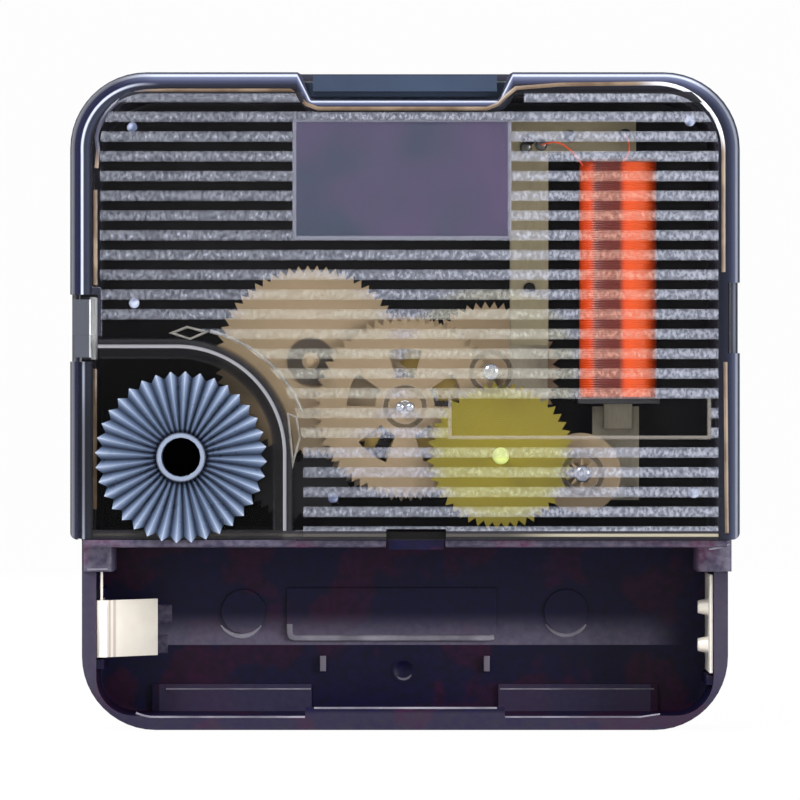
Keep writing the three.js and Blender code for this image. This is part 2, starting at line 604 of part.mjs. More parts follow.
function backCover() {
  const low = -coverDrop;
  const outer = roundedOutline(-coverHalf, coverHalf, low, coverHalf, coverCorner, lowCorner);
  const inner = roundedOutline(
    -coverHalf + skirtThickness, coverHalf - skirtThickness, low - overrun, coverHalf - skirtThickness,
    coverCorner - skirtThickness, lowCorner,
  );
  const full = plate(outer, skirtDepth, plateDepth);
  let body = cut(full, plate(inner, skirtDepth - overrun, plateInner));

  // Ribs cross the plate, clear of the edge band, the name plate, the window and the well's band
  const ribs = Array.from({ length: ribRows }, (_, row) => {
    const middle = ribTop - row * ribPitch;
    return box(
      ribLeft, ribRight, middle - ribWidth / 2, middle + ribWidth / 2,
      plateDepth - plateThickness / 2, caseDepth,
    );
  });
  const bare = [
    box(plateLeft, plateRight, plateLow, plateHigh, plateDepth, caseDepth + overrun),
    box(windowLeft, windowRight, windowLow, windowHigh, plateDepth, caseDepth + overrun),
    plate(wellOutline(bandRadius, coverHalf * 2), plateDepth, caseDepth + overrun),
    box(
      ribBreakLeft, ribBreakRight, coverHalf - notchDrop - ribWidth, coverHalf + overrun, plateDepth,
      caseDepth + overrun,
    ),
  ];
  const cornerGuard = roundedOutline(
    ribLeft, ribRight, low - overrun, ribTop + ribPitch, coverCorner - skirtThickness, lowCorner,
  );
  const trimmed = cut(join(...ribs), ...bare).intersect(plate(cornerGuard, 0, caseDepth + overrun));
  body = join(body, trimmed);

  // The well that the knob sits in
  const wellCut = plate(
    wellOutline(wellRadius, coverHalf * 2), plateInner - overrun, caseDepth + overrun, wellSteps,
  );
  const innerClip = plate(roundedOutline(
    -coverHalf + skirtThickness, coverHalf, low - overrun, coverHalf, lowCorner, lowCorner,
  ), 0, caseDepth + overrun);
  body = cut(body, wellCut.intersect(innerClip));
  const wellShell = cut(
    plate(wellOutline(wellRadius + wellWall, coverHalf * 2), wellFloorDepth, plateDepth, wellSteps),
    plate(wellOutline(wellRadius, coverHalf * 2), wellFloorDepth + wellFloorThickness, caseDepth, wellSteps),
  );
  const wellClip = plate(roundedOutline(
    -coverHalf + skirtThickness / 2, coverHalf, low, coverHalf, lowCorner, lowCorner,
  ), 0, caseDepth);
  body = join(body, wellShell.intersect(wellClip));
  body = cut(body, rod(knobAxis, knobStemRadius + clearance, wellFloorDepth - overrun, caseDepth));
  body = cut(body, rod(knobAxis, knobTip + seat, knobDepth - seat, caseDepth + overrun, 0, wideSides));

  // Notches in the edge: the top bar, the left hook, the right side and the lower tab
  const topNotch = new THREE.Shape();
  topNotch.moveTo(-notchHalf, coverHalf + overrun);
  topNotch.lineTo(-notchHalf, coverHalf);
  topNotch.bezierCurveTo(
    -notchHalf + notchSlope / 2, coverHalf, -notchHalf + notchSlope / 2, coverHalf - notchDrop,
    -notchHalf + notchSlope, coverHalf - notchDrop,
  );
  topNotch.lineTo(notchHalf - notchSlope, coverHalf - notchDrop);
  topNotch.bezierCurveTo(
    notchHalf - notchSlope / 2, coverHalf - notchDrop, notchHalf - notchSlope / 2, coverHalf,
    notchHalf, coverHalf,
  );
  topNotch.lineTo(notchHalf, coverHalf + overrun);
  const notchFloor = wallTop - caseWall * 2 - seat;
  body = cut(
    body,
    plate(topNotch, notchFloor, caseDepth + overrun),
    box(
      -coverHalf - overrun, -coverHalf + leftNotchReach, leftNotchLow, leftNotchHigh, notchFloor,
      caseDepth + overrun,
    ),
    box(
      coverHalf - rightNotchReach, coverHalf + overrun, rightNotchLow, rightNotchHigh, notchFloor,
      caseDepth + overrun,
    ),
    box(
      tabAcross - tabNotchHalf, tabAcross + tabNotchHalf, low - overrun, low + tabNotchRise, notchFloor,
      caseDepth + overrun,
    ),
  );

  // Bearing bosses under the plate, with blind holes for the pivots
  for (const at of [centre, thirdAxis, intermediateAxis, rotorAxis]) {
    body = join(body, rod(at, bossRadius, bossTip, plateDepth - plateThickness / 2));
    body = cut(body, rod(at, pivotRadius + clearance, bossTip - overrun, plateInner, 0, pinSides));
  }
  body = join(body, rod(motionAxis, bossRadius, bossTip, plateDepth - plateThickness / 2));
  return toMesh('back_cover', body, clearPlastic());
}

// Setting knob: a ridged crown on a hub, with its stem and lower pin

// A closed profile carried round the depth axis, with its own points at each angle
function turned(at, steps, profileAt, phase) {
  const points = [];
  const faces = [];
  const count = profileAt(0).length;
  for (let i = 0; i < steps; i += 1) {
    const angle = phase + i * 2 * Math.PI / steps;
    for (const [radius, depth] of profileAt(i)) {
      points.push(at.x + radius * Math.cos(angle), -depth, at.y + radius * Math.sin(angle));
    }
  }
  for (let i = 0; i < steps; i += 1) {
    const next = (i + 1) % steps;
    for (let j = 0; j < count; j += 1) {
      const across = (j + 1) % count;
      const a = i * count + j;
      const b = i * count + across;
      const c = next * count + across;
      const d = next * count + j;
      faces.push(a, b, c, a, c, d);
    }
  }
  const geometry = new THREE.BufferGeometry();
  geometry.setAttribute('position', new THREE.Float32BufferAttribute(points, 3));
  geometry.setIndex(faces);
  return solid(geometry);
}

function settingKnob() {
  const crown = turned(knobAxis, knobRidges * 2, (i) => {
    const ridge = i % 2 === 0;
    const tip = ridge ? knobTip : knobTip - valleyInset;
    const top = ridge ? knobTop : knobTop - valleyDrop;
    const innerTop = ridge ? knobTop - innerDrop : knobTop - innerDrop - knobRidgeRise;
    return [
      [knobHub - knobRidgeRise, knobDepth],
      [knobHub - knobRidgeRise, knobTop - knobGroove],
      [ridgeStart, innerTop],
      [tip, top],
      [tip, knobDepth],
    ];
  }, ridgePhase);
  const hub = rod(knobAxis, knobHub, knobDepth, knobTop, 0, wideSides);
  const stem = rod(knobAxis, knobStemRadius, stemFoot, knobDepth + knobBase);
  const pin = rod(knobAxis, knobPinRadius, floorThickness + seat, stemFoot + knobBase, 0, pinSides);
  const hole = rod(knobAxis, knobHole, knobDepth + knobRidgeRise, knobTop + overrun);
  return toMesh('setting_knob', cut(join(crown, hub, stem, pin), hole), bluePlastic());
}

function knobGear() {
  const top = settingDepth + wheelThickness;
  const disc = join(
    gear(knobAxis, settingModule, knobGearTeeth, knobPhase, settingDepth, top),
    rod(knobAxis, gearHubRadius, settingDepth, top + gearHubRise),
  );
  const bore = rod(knobAxis, knobStemRadius + clearance / 2, 0, caseDepth);
  return toMesh('knob_gear', cut(disc, bore), blackPlastic());
}

// Setting idler and the wheels of the motion work
function settingIdler() {
  const disc = gear(
    idlerAxis, settingModule, idlerTeeth, idlerPhase, settingDepth, settingDepth + wheelThickness,
  );
  const bore = rod(idlerAxis, arborRadius + clearance / 2, 0, caseDepth);
  return toMesh('setting_idler', cut(disc, bore), blackPlastic());
}

function motionWheel() {
  const disc = join(
    gear(
      motionAxis, motionModule, motionTeeth, motionPhase, motionWheelDepth,
      motionWheelDepth + wheelThickness,
    ),
    gear(
      motionAxis, hourModule, motionPinionTeeth, 0, motionPinionDepth, motionWheelDepth + wheelThickness / 2,
    ),
  );
  const bore = rod(motionAxis, arborRadius + clearance / 2, 0, caseDepth);
  return toMesh('motion_wheel', cut(disc, bore), beigePlastic());
}

function hourWheel() {
  const disc = join(
    gear(centre, hourModule, hourTeeth, hourPhase, hourWheelDepth, hourWheelDepth + wheelThickness),
    rod(centre, hourPipeRadius, -hourPipeLength, hourWheelDepth + wheelThickness / 2),
  );
  const bore = rod(centre, hourPipeBore, -caseDepth, caseDepth);
  return toMesh('hour_wheel', cut(disc, bore), beigePlastic());
}

function minutePipe() {
  const top = minuteWheelDepth + wheelThickness + seat;
  const body = join(
    rod(centre, minutePipeRadius, -minutePipeLength, top),
    gear(centre, motionModule, cannonTeeth, 0, cannonDepth, settingDepth + wheelThickness / 2),
    gear(centre, settingModule, settingTeeth, 0, settingDepth, settingDepth + wheelThickness),
    rod(centre, clutchCollar, settingDepth, clutchDepth - clearance / 2),
  );
  const bore = rod(centre, minutePipeBore, -caseDepth, caseDepth);
  return toMesh('minute_pipe', cut(body, bore), brass());
}

// Clutch spring: a star washer whose arms press on the minute wheel
function clutchSpring() {
  const hub = rod(centre, clutchHubRadius, clutchDepth, clutchDepth + springThickness);
  const arms = [0, 1, 2].map((arm) => {
    const start = clutchHubRadius - armWidth / 2;
    const profile = new THREE.Shape();
    profile.moveTo(start, 0);
    profile.lineTo(armLength, -armRise);
    profile.lineTo(armLength, -armRise - springThickness);
    profile.lineTo(start, -springThickness);
    profile.closePath();
    const geometry = new THREE.ExtrudeGeometry(profile, { depth: armWidth, bevelEnabled: false });
    geometry.translate(0, -clutchDepth, -armWidth / 2);
    geometry.rotateY(arm * 2 * Math.PI / 3);
    return solid(geometry);
  });
  const bore = rod(centre, minutePipeRadius + clearance / 2, 0, caseDepth);
  return toMesh('clutch_spring', cut(join(hub, ...arms), bore), steel());
}

// Running train
function minuteWheel() {
  const depthEnd = minuteWheelDepth + wheelThickness;
  const disc = gear(centre, minuteModule, minuteTeeth, minutePhase, minuteWheelDepth, depthEnd);
  const bore = rod(centre, minutePipeRadius + clearance / 2, 0, caseDepth);
  const holes = windows(centre, windowInner, windowOuter);
  return toMesh('minute_wheel', cut(disc, bore, ...holes), beigePlastic());
}

// An arbor between a floor bearing and a cover boss, with thinner pivots at its ends
function arbor(at) {
  return join(
    rod(at, arborRadius, floorThickness + arborRise, bossTip - clearance),
    rod(at, pivotRadius, floorThickness / 2 + clearance, plateInner - clearance, 0, pinSides),
  );
}

function thirdWheel() {
  const body = join(
    arbor(thirdAxis),
    gear(
      thirdAxis, thirdWheelModule, thirdTeeth, thirdPhase, thirdWheelDepth,
      thirdWheelDepth + wheelThickness,
    ),
    gear(
      thirdAxis, minuteModule, thirdPinionTeeth, 0, thirdPinionDepth,
      thirdWheelDepth + wheelThickness / 2,
    ),
    rod(
      thirdAxis, thirdHubRadius, thirdWheelDepth - wheelThickness,
      thirdWheelDepth + wheelThickness + clearance,
    ),
  );
  return toMesh('third_wheel', body, beigePlastic());
}

function intermediateWheel() {
  const body = join(
    arbor(intermediateAxis),
    gear(
      intermediateAxis, trainModule, intermediateTeeth, intermediatePhase, intermediateWheelDepth,
      intermediateWheelDepth + wheelThickness,
    ),
    gear(
      intermediateAxis, trainModule, intermediatePinionTeeth, 0, secondsWheelDepth - clearance,
      intermediateWheelDepth + wheelThickness / 2,
    ),
  );
  return toMesh('intermediate_wheel', body, greenPlastic());
}

function secondsWheel() {
  const body = join(
    gear(
      centre, trainModule, secondsTeeth, secondsPhase, secondsWheelDepth, secondsWheelDepth + wheelThickness,
    ),
    gear(
      centre, thirdWheelModule, secondsPinionTeeth, 0, secondsPinionDepth,
      secondsWheelDepth + wheelThickness / 2,
    ),
  );
  const bore = rod(centre, secondsShaftRadius + slip, 0, caseDepth);
  const holes = windows(centre, windowInner, windowOuter);
  return toMesh('seconds_wheel', cut(body, bore, ...holes), beigePlastic());
}

function secondsArbor() {
  const body = join(
    rod(centre, secondsShaftRadius, -secondsShaftLength, bossTip - clearance / 2),
    rod(centre, pivotRadius, 0, plateInner - clearance, 0, pinSides),
  );
  return toMesh('seconds_arbor', body, steel());
}

// Stepping motor: rotor, stator, coil and core

function rotorPinion() {
  const body = join(
    arbor(rotorAxis),
    gear(
      rotorAxis, trainModule, rotorTeeth, rotorPhase, rotorPinionDepth,
      intermediateWheelDepth + wheelThickness + clearance / 2,
    ),
    rod(rotorAxis, rotorDiscRadius, rotorDiscDepth, rotorDiscDepth + wheelThickness, 0, wideSides),
    rod(rotorAxis, rotorHubRadius, rotorDiscDepth, rotorPinionDepth),
  );
  return toMesh('rotor_pinion', body, beigePlastic());
}

function rotorMagnet() {
  return toMesh(
    'rotor_magnet',
    rod(rotorAxis, magnetRadius, magnetFrom, magnetTo, arborRadius + clearance / 2, wideSides),
    ferrite(),
  );
}

function statorPlate() {
  const legRight = statorLeft + statorLeg;
  const body = join(
    rod(rotorAxis, statorRing, statorDepth, statorTop, 0, wideSides),
    box(statorStrip, statorRight, statorFoot, coilLow - clearance, statorDepth, statorTop),
    box(legRight - statorLeg, legRight, rotorAxis.y - statorRing / 2, statorHigh, statorDepth, statorTop),
    box(
      legRight - statorLeg / 2, rotorAxis.x - magnetRadius, rotorAxis.y - statorRing / 2,
      rotorAxis.y + statorRing / 2, statorDepth, statorTop,
    ),
    box(
      statorLeft, coilMiddle + coreWidth / 2, coilHigh + clearance, statorHigh, statorDepth, statorTop,
    ),
  );
  const holes = [
    rod(rotorAxis, magnetRadius + statorGap, 0, caseDepth, 0, wideSides),
    ...boardPosts.map((at) => rod(at, boardPostRadius + clearance / 2, 0, caseDepth, 0, pinSides)),
  ];
  for (const at of statorPosts) {
    holes.push(rod(at, boardPinRadius + clearance / 2, 0, caseDepth, 0, pinSides));
  }
  return toMesh('stator_plate', cut(body, ...holes), steel());
}

function coilCore() {
  const low = coilLow - coreOverlap;
  const body = box(
    coilMiddle - coreWidth / 2, coilMiddle + coreWidth / 2, low, coreEnd, coreDepth,
    coreDepth + coreThickness,
  );
  const hole = rod(statorPosts[0], boardPinRadius + clearance / 2, 0, caseDepth, 0, pinSides);
  return toMesh('coil_core', cut(body, hole), steel());
}

function coilBobbin() {
  const tubeHalf = coreWidth / 2 + tubeWall;
  const tubeHalfDepth = coreThickness / 2 + tubeWall;
  const body = join(
    box(
      coilMiddle - tubeHalf, coilMiddle + tubeHalf, coilLow, coilHigh, coilDepthMiddle - tubeHalfDepth,
      coilDepthMiddle + tubeHalfDepth,
    ),
    box(
      coilLeft, coilRight, coilLow, coilLow + flangeThickness, coilDepthMiddle - coilHalfDepth,
      coilDepthMiddle + coilHalfDepth,
    ),
    box(
      coilLeft, coilRight, coilHigh - flangeThickness, coilHigh, coilDepthMiddle - coilHalfDepth,
      coilDepthMiddle + coilHalfDepth,
    ),
  );
  const slot = box(
    coilMiddle - coreWidth / 2 - clearance / 2, coilMiddle + coreWidth / 2 + clearance / 2,
    coilLow - overrun, coilHigh + overrun, coreDepth - clearance / 2,
    coreDepth + coreThickness + clearance / 2,
  );
  return toMesh('coil_bobbin', cut(body, slot), darkResin());
}

// Winding: an oblong section round the bobbin's tube, bulging toward its middle
function coilWinding() {
  const low = coilLow + flangeThickness + clearance / 2;
  const high = coilHigh - flangeThickness - clearance / 2;
  const section = roundedOutline(
    coilLeft + windingInset, coilRight - windingInset, windingInset - coilHalfDepth,
    coilHalfDepth - windingInset, windingCorner, windingCorner,
  );
  const geometry = new THREE.ExtrudeGeometry(section, {
    depth: high - low, bevelEnabled: false, curveSegments: arcSteps,
  });
  geometry.translate(0, -coilDepthMiddle, low);
  const tubeHalf = coreWidth / 2 + tubeWall + clearance / 2;
  const tubeHalfDepth = coreThickness / 2 + tubeWall + clearance / 2;
  const room = box(
    coilMiddle - tubeHalf, coilMiddle + tubeHalf, low - overrun, high + overrun,
    coilDepthMiddle - tubeHalfDepth, coilDepthMiddle + tubeHalfDepth,
  );
  return toMesh('coil_winding', cut(solid(geometry), room), orangeWire());
}

// Circuit board with its crystal and the drop of resin over the chip
function circuitBoard() {
  const top = boardDepth + boardThickness;
  const body = join(
    box(boardLeft, boardRight, boardHigh - boardBar, boardHigh, boardDepth, top),
    box(boardLeft, boardLeft + boardArm, boardLow, boardHigh, boardDepth, top),
  );
  const holes = boardPosts.map((at) => rod(at, boardPinRadius + clearance / 2, 0, caseDepth, 0, pinSides));
  return toMesh('circuit_board', cut(body, ...holes), boardTan());
}

function quartzCrystal() {
  const geometry = new THREE.CylinderGeometry(canRadius, canRadius, canLength, rodSides);
  geometry.rotateX(Math.PI / 2);
  const low = boardLow + boardArm * 2 + boardThickness;
  geometry.translate(
    boardLeft + boardArm / 2, canRadius + slip - boardDepth, low + canLength / 2,
  );
  return toMesh('quartz_crystal', solid(geometry), nickel());
}

function chip() {
  const base = boardDepth - slip;
  const profile = [];
  for (let i = dropRings; i >= 0; i -= 1) {
    const angle = i / dropRings * Math.PI / 2;
    const across = i === dropRings ? 0 : dropRadius * Math.cos(angle);
    profile.push(new THREE.Vector2(across, base - dropRise * Math.sin(angle)));
  }
  profile.push(new THREE.Vector2(0, base));
  const geometry = new THREE.LatheGeometry(profile, rodSides);
  geometry.rotateX(Math.PI);
  geometry.translate(coilMiddle, 0, boardHigh - boardBar / 2);
  return toMesh('chip', solid(geometry), darkResin());
}

// Battery contacts

function negativeContact() {
  const body = join(
    box(
      -bayEnd + slip, -bayEnd + slip + contactThickness, contactLow, contactHigh, floorThickness + seat,
      trayRim - seat,
    ),
    box(
      -bayEnd + slip, -bayEnd + contactThickness * 3, contactLow, contactHigh,
      trayRim - seat - contactThickness, trayRim - seat,
    ),
  );
  return toMesh('negative_contact', body, nickel());
}

function negativeLeaf() {
  const start = -bayEnd + contactThickness * 2;
  const side = new THREE.Shape();
  const slant = Math.atan2(leafReach, leafFold - leafTip);
  const across = contactThickness / Math.cos(slant);
  side.moveTo(start, -leafFold);
  side.lineTo(start + across, -leafFold);
  side.lineTo(start + leafReach + across / 2, -leafTip);
  side.lineTo(start + leafReach, -leafTip + contactThickness);
  side.lineTo(start + leafReach - across / 2, -leafTip + across * leafTipShare);
  side.closePath();
  const geometry = new THREE.ExtrudeGeometry(side, { depth: contactHigh - contactLow, bevelEnabled: false });
  geometry.translate(0, 0, contactLow);
  return toMesh('negative_leaf', solid(geometry), nickel());
}

function positiveContact() {
  const face = bayEnd - slip - contactThickness;
  let body = box(face, bayEnd - slip, positiveLow, positiveHigh, floorThickness + seat, trayRim - seat);
  for (const up of [lowerBump, upperBump]) {
    const geometry = new THREE.CylinderGeometry(bumpRadius * bumpShare, bumpRadius, bumpRise * 2, rodSides);
    geometry.rotateZ(Math.PI / 2);
    geometry.translate(face, -bumpDepth, up - centreHeight);
    body = join(body, solid(geometry).intersect(box(
      face - bumpRise, bayEnd - slip, positiveLow, positiveHigh, floorThickness, trayRim,
    )));
  }
  return toMesh('positive_contact', body, nickel());
}

// Threaded bushing: collar on the dial face, spigot through the floor
function threadedBushing() {
  const body = join(
    rod(centre, collarRadius, -collarHeight, 0, 0, wideSides),
    rod(centre, bushingRadius, -bushingLength, floorThickness - clearance, 0, wideSides),
  );
  return toMesh('threaded_bushing', cut(body, rod(centre, bushingBore, -caseDepth, caseDepth)), brass());
}

const movement = new THREE.Group();
movement.position.set(0, 0, centreHeight);
movement.add(
  frontCase(),
  backCover(),
  settingKnob(),
  knobGear(),
  settingIdler(),
  motionWheel(),
  hourWheel(),
  minutePipe(),
  clutchSpring(),
  minuteWheel(),
  thirdWheel(),
  secondsWheel(),
  secondsArbor(),
  intermediateWheel(),
  rotorPinion(),
  rotorMagnet(),
  statorPlate(),
  coilCore(),
  coilBobbin(),
  coilWinding(),
  circuitBoard(),
  quartzCrystal(),
  chip(),
  negativeContact(),
  negativeLeaf(),
  positiveContact(),
  threadedBushing(),
);

export default movement;
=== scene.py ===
import json
import math

import bmesh
import bpy
import numpy as np
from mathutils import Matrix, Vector


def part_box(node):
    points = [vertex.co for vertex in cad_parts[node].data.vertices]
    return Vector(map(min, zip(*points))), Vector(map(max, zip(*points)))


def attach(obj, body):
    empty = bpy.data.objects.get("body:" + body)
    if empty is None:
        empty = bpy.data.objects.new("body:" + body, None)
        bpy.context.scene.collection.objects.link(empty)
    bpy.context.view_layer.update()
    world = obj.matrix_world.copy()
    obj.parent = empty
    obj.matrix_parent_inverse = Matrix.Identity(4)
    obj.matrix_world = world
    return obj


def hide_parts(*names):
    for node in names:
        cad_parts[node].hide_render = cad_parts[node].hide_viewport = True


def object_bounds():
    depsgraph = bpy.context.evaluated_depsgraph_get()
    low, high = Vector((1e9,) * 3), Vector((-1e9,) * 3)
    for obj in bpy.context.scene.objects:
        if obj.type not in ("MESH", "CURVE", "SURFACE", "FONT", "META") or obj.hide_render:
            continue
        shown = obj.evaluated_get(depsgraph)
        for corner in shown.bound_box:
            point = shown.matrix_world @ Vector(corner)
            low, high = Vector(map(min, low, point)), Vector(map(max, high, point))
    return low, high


# Quartz clock movement seen from its back, standing on the lower edge of its battery tray.
# Metres, +X right, +Z up, +Y toward the dial. Depth is measured from the dial face to the back.
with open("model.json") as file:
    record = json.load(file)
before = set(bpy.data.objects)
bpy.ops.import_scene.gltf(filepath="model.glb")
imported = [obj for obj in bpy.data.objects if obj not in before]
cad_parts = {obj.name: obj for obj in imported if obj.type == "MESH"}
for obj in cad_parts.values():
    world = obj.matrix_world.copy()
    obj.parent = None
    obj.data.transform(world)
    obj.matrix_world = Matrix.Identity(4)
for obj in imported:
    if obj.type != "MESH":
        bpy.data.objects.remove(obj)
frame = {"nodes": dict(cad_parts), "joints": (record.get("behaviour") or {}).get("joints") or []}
cad_low, cad_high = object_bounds()
nodes = frame["nodes"]
pivot_axes = {joint["name"]: (joint["pos_m"][0], joint["pos_m"][2]) for joint in frame["joints"]}
mm = 0.001


# Camera and light. The photograph looks straight at the back from over half a metre away, so the
# sides hardly show. A white room, three soft lamps and a pale floor light it evenly.
PHOTO_SIZE = 800
photo_scale = (cad_high.x - cad_low.x) / 670
cover_left_pixel, cover_top_pixel = 70, 72
camera_distance = 0.62
back_y = cad_low.y
view_x = cad_low.x + (PHOTO_SIZE / 2 - cover_left_pixel) * photo_scale
view_z = cad_high.z - (PHOTO_SIZE / 2 - cover_top_pixel) * photo_scale


def photo_point(across, down, depth=-back_y):
    """The x and z that lie at a pixel of the photograph, at a depth from the dial."""
    reach = photo_scale * (1 - (back_y + depth) / camera_distance)
    return view_x + (across - PHOTO_SIZE / 2) * reach, view_z - (down - PHOTO_SIZE / 2) * reach


camera_data = bpy.data.cameras.new("camera")
camera_data.sensor_width = 36
camera_data.lens = 36 * camera_distance / (PHOTO_SIZE * photo_scale)
camera = bpy.data.objects.new("camera", camera_data)
camera.location = (view_x, back_y - camera_distance, view_z)
camera.rotation_euler = (math.pi / 2, 0, 0)
bpy.context.scene.collection.objects.link(camera)
bpy.context.scene.camera = camera
bpy.context.scene.view_settings.view_transform = "Standard"


def soft_lamp(name, place, width, power):
    """A square lamp at a place that faces the middle of the movement."""
    lamp = bpy.data.lights.new(name, "AREA")
    lamp.size = width
    lamp.energy = power
    holder = bpy.data.objects.new(name, lamp)
    holder.location = place
    holder.rotation_euler = (middle - Vector(place)).to_track_quat("-Z", "Y").to_euler()
    bpy.context.scene.collection.objects.link(holder)


middle = Vector((0, back_y / 2, cad_high.z / 2))
soft_lamp("upper_left_lamp", (-0.22, -0.30, 0.32), 0.16, 1.7)
soft_lamp("right_lamp", (0.34, -0.26, 0.10), 0.16, 1.1)
soft_lamp("dial_side_lamp", (-0.15, 0.40, 0.25), 0.3, 1.5)


def add_node(tree, kind, settings, sockets):
    """A node of a kind, with its settings and the values or links of its sockets."""
    made = tree.nodes.new(kind)
    for name, value in settings.items():
        setattr(made, name, value)
    pairs = sockets.items() if isinstance(sockets, dict) else enumerate(sockets)
    for key, value in pairs:
        link = getattr(value, "socket", value)
        if isinstance(link, bpy.types.NodeSocket):
            tree.links.new(link, made.inputs[key])
        else:
            made.inputs[key].default_value = value
    return made


# The camera sees the room white, also through the clear cover, and so do mirrors that show what is
# behind the movement. The room's light on the movement is dimmer, so black plastic stays black.
world = bpy.data.worlds.new("white_room")
bpy.context.scene.world = world
world.use_nodes = True
sky = world.node_tree
sky.nodes.clear()
white = (1, 1, 1, 1)
plain_light = add_node(sky, "ShaderNodeBackground", {}, {"Color": white, "Strength": 0.55})
white_light = add_node(sky, "ShaderNodeBackground", {}, {"Color": white, "Strength": 1})
ray = add_node(sky, "ShaderNodeLightPath", {}, {}).outputs
seen = add_node(
    sky, "ShaderNodeMath", {"operation": "MAXIMUM"},
    [ray["Is Camera Ray"], ray["Is Transmission Ray"]],
)
direction = add_node(sky, "ShaderNodeTexCoord", {}, {})
heading = add_node(sky, "ShaderNodeSeparateXYZ", {}, [direction.outputs["Generated"]])
behind = add_node(sky, "ShaderNodeMath", {"operation": "GREATER_THAN"}, [heading.outputs["Y"], 0])
whiteness = add_node(
    sky, "ShaderNodeMath", {"operation": "MULTIPLY_ADD"},
    [ray["Is Glossy Ray"], behind.outputs[0], seen.outputs[0]],
)
room_light = add_node(
    sky, "ShaderNodeMixShader", {},
    [whiteness.outputs[0], plain_light.outputs[0], white_light.outputs[0]],
)
add_node(sky, "ShaderNodeOutputWorld", {}, [room_light.outputs[0]])


class Value:
    """A number in a material's node tree. Sums on it add Math nodes."""

    def __init__(self, finish, socket):
        self.finish = finish
        self.socket = socket

    def math(self, operation, *others):
        node = self.finish.node("ShaderNodeMath", {"operation": operation}, [self, *others])
        return Value(self.finish, node.outputs[0])

    def __add__(self, other):
        return self.math("ADD", other)

    __radd__ = __add__

    def __sub__(self, other):
        return self.math("SUBTRACT", other)

    def __rsub__(self, other):
        return (self * -1).math("ADD", other)

    def __mul__(self, other):
        return self.math("MULTIPLY", other)

    __rmul__ = __mul__

    def __truediv__(self, other):
        return self.math("DIVIDE", other)

    def at_least(self, other):
        return self.math("MAXIMUM", other)

    def at_most(self, other):
        return self.math("MINIMUM", other)

    def size(self):
        return self.math("ABSOLUTE")

    def above(self, edge, softness=0.02 * mm):
        """0 below the edge, 1 above it, with a short ramp between."""
        settings = {"interpolation_type": "SMOOTHSTEP"}
        sockets = {"Value": self, "From Min": edge - softness, "From Max": edge + softness}
        ramp = self.finish.node("ShaderNodeMapRange", settings, sockets)
        return Value(self.finish, ramp.outputs[0])

    def below(self, edge, softness=0.02 * mm):
        """1 below the edge, 0 above it."""
        return 1 - self.above(edge, softness)

    def between(self, low, high, softness=0.02 * mm):
        return self.above(low, softness) * self.below(high, softness)


class Finish:
    """A procedural material: one Principled shader, with every pattern on Object coordinates."""

    def __init__(self, name, roughness=0.5, metallic=0.0, coat=0.0, ior=1.5):
        self.material = bpy.data.materials.new(name)
        self.material.use_nodes = True
        self.tree = self.material.node_tree
        self.shader = self.tree.nodes["Principled BSDF"]
        self.shader.inputs["Roughness"].default_value = roughness
        self.shader.inputs["Metallic"].default_value = metallic
        self.shader.inputs["Coat Weight"].default_value = coat
        self.shader.inputs["Coat Roughness"].default_value = 0.08
        self.shader.inputs["IOR"].default_value = ior
        place = self.node("ShaderNodeTexCoord", {}, {})
        self.place = place.outputs["Object"]
        split = self.node("ShaderNodeSeparateXYZ", {}, {0: self.place})
        self.x, self.y, self.z = (Value(self, socket) for socket in split.outputs)

    def node(self, kind, settings, sockets):
        """A node of the material, made the same way."""
        return add_node(self.tree, kind, settings, sockets)

    def noise(self, scale, detail=3, squeeze=(1, 1, 1)):
        """Noise from 0 to 1 in Object coordinates, squeezed along each axis by a factor."""
        mapped = self.node("ShaderNodeMapping", {}, {"Vector": self.place, "Scale": squeeze})
        made = self.node(
            "ShaderNodeTexNoise", {},
            {"Vector": mapped.outputs[0], "Scale": scale, "Detail": detail},
        )
        return Value(self, made.outputs["Fac"])

    def mix(self, amount, first, second):
        """A colour between two colours or colour links, by an amount from 0 to 1."""
        made = self.node("ShaderNodeMix", {"data_type": "RGBA"}, {0: amount, 6: first, 7: second})
        return made.outputs[2]

    def ramp(self, value, stops):
        """The colour and alpha that a list of stops (place, colour, alpha) gives at a value."""
        made = self.node("ShaderNodeValToRGB", {}, {0: value})
        points = made.color_ramp.elements
        while len(points) < len(stops):
            points.new(1)
        for point, (place, tint, alpha) in zip(points, stops):
            point.position = place
            point.color = (*tint[:3], alpha)
        return made.outputs[0], Value(self, made.outputs[1])

    def put(self, socket, value):
        link = value.socket if isinstance(value, Value) else value
        self.tree.links.new(link, self.shader.inputs[socket])

    def bump(self, height, distance, strength=1.0):
        made = self.node(
            "ShaderNodeBump", {}, {"Height": height, "Distance": distance, "Strength": strength},
        )
        self.tree.links.new(made.outputs[0], self.shader.inputs["Normal"])

    def from_axis(self, at):
        """Distance in x and z from an axis that runs along the depth."""
        across = self.x - at[0]
        up = self.z - at[1]
        return (across * across + up * up).math("SQRT")

    def past_corner(self, across, up):
        """Distance outside the quarter plane below across = 0 and up = 0, negative inside it."""
        out_across = across.at_least(0)
        out_up = up.at_least(0)
        outside = (out_across * out_across + out_up * out_up).math("SQRT")
        return outside + across.at_least(up).at_most(0)


def colour(red, green, blue):
    """A linear colour from red, green and blue as seen, 0 to 255."""
    def linear(level):
        share = level / 255
        return share / 12.92 if share <= 0.04045 else ((share + 0.055) / 1.055) ** 2.4
    return linear(red), linear(green), linear(blue), 1


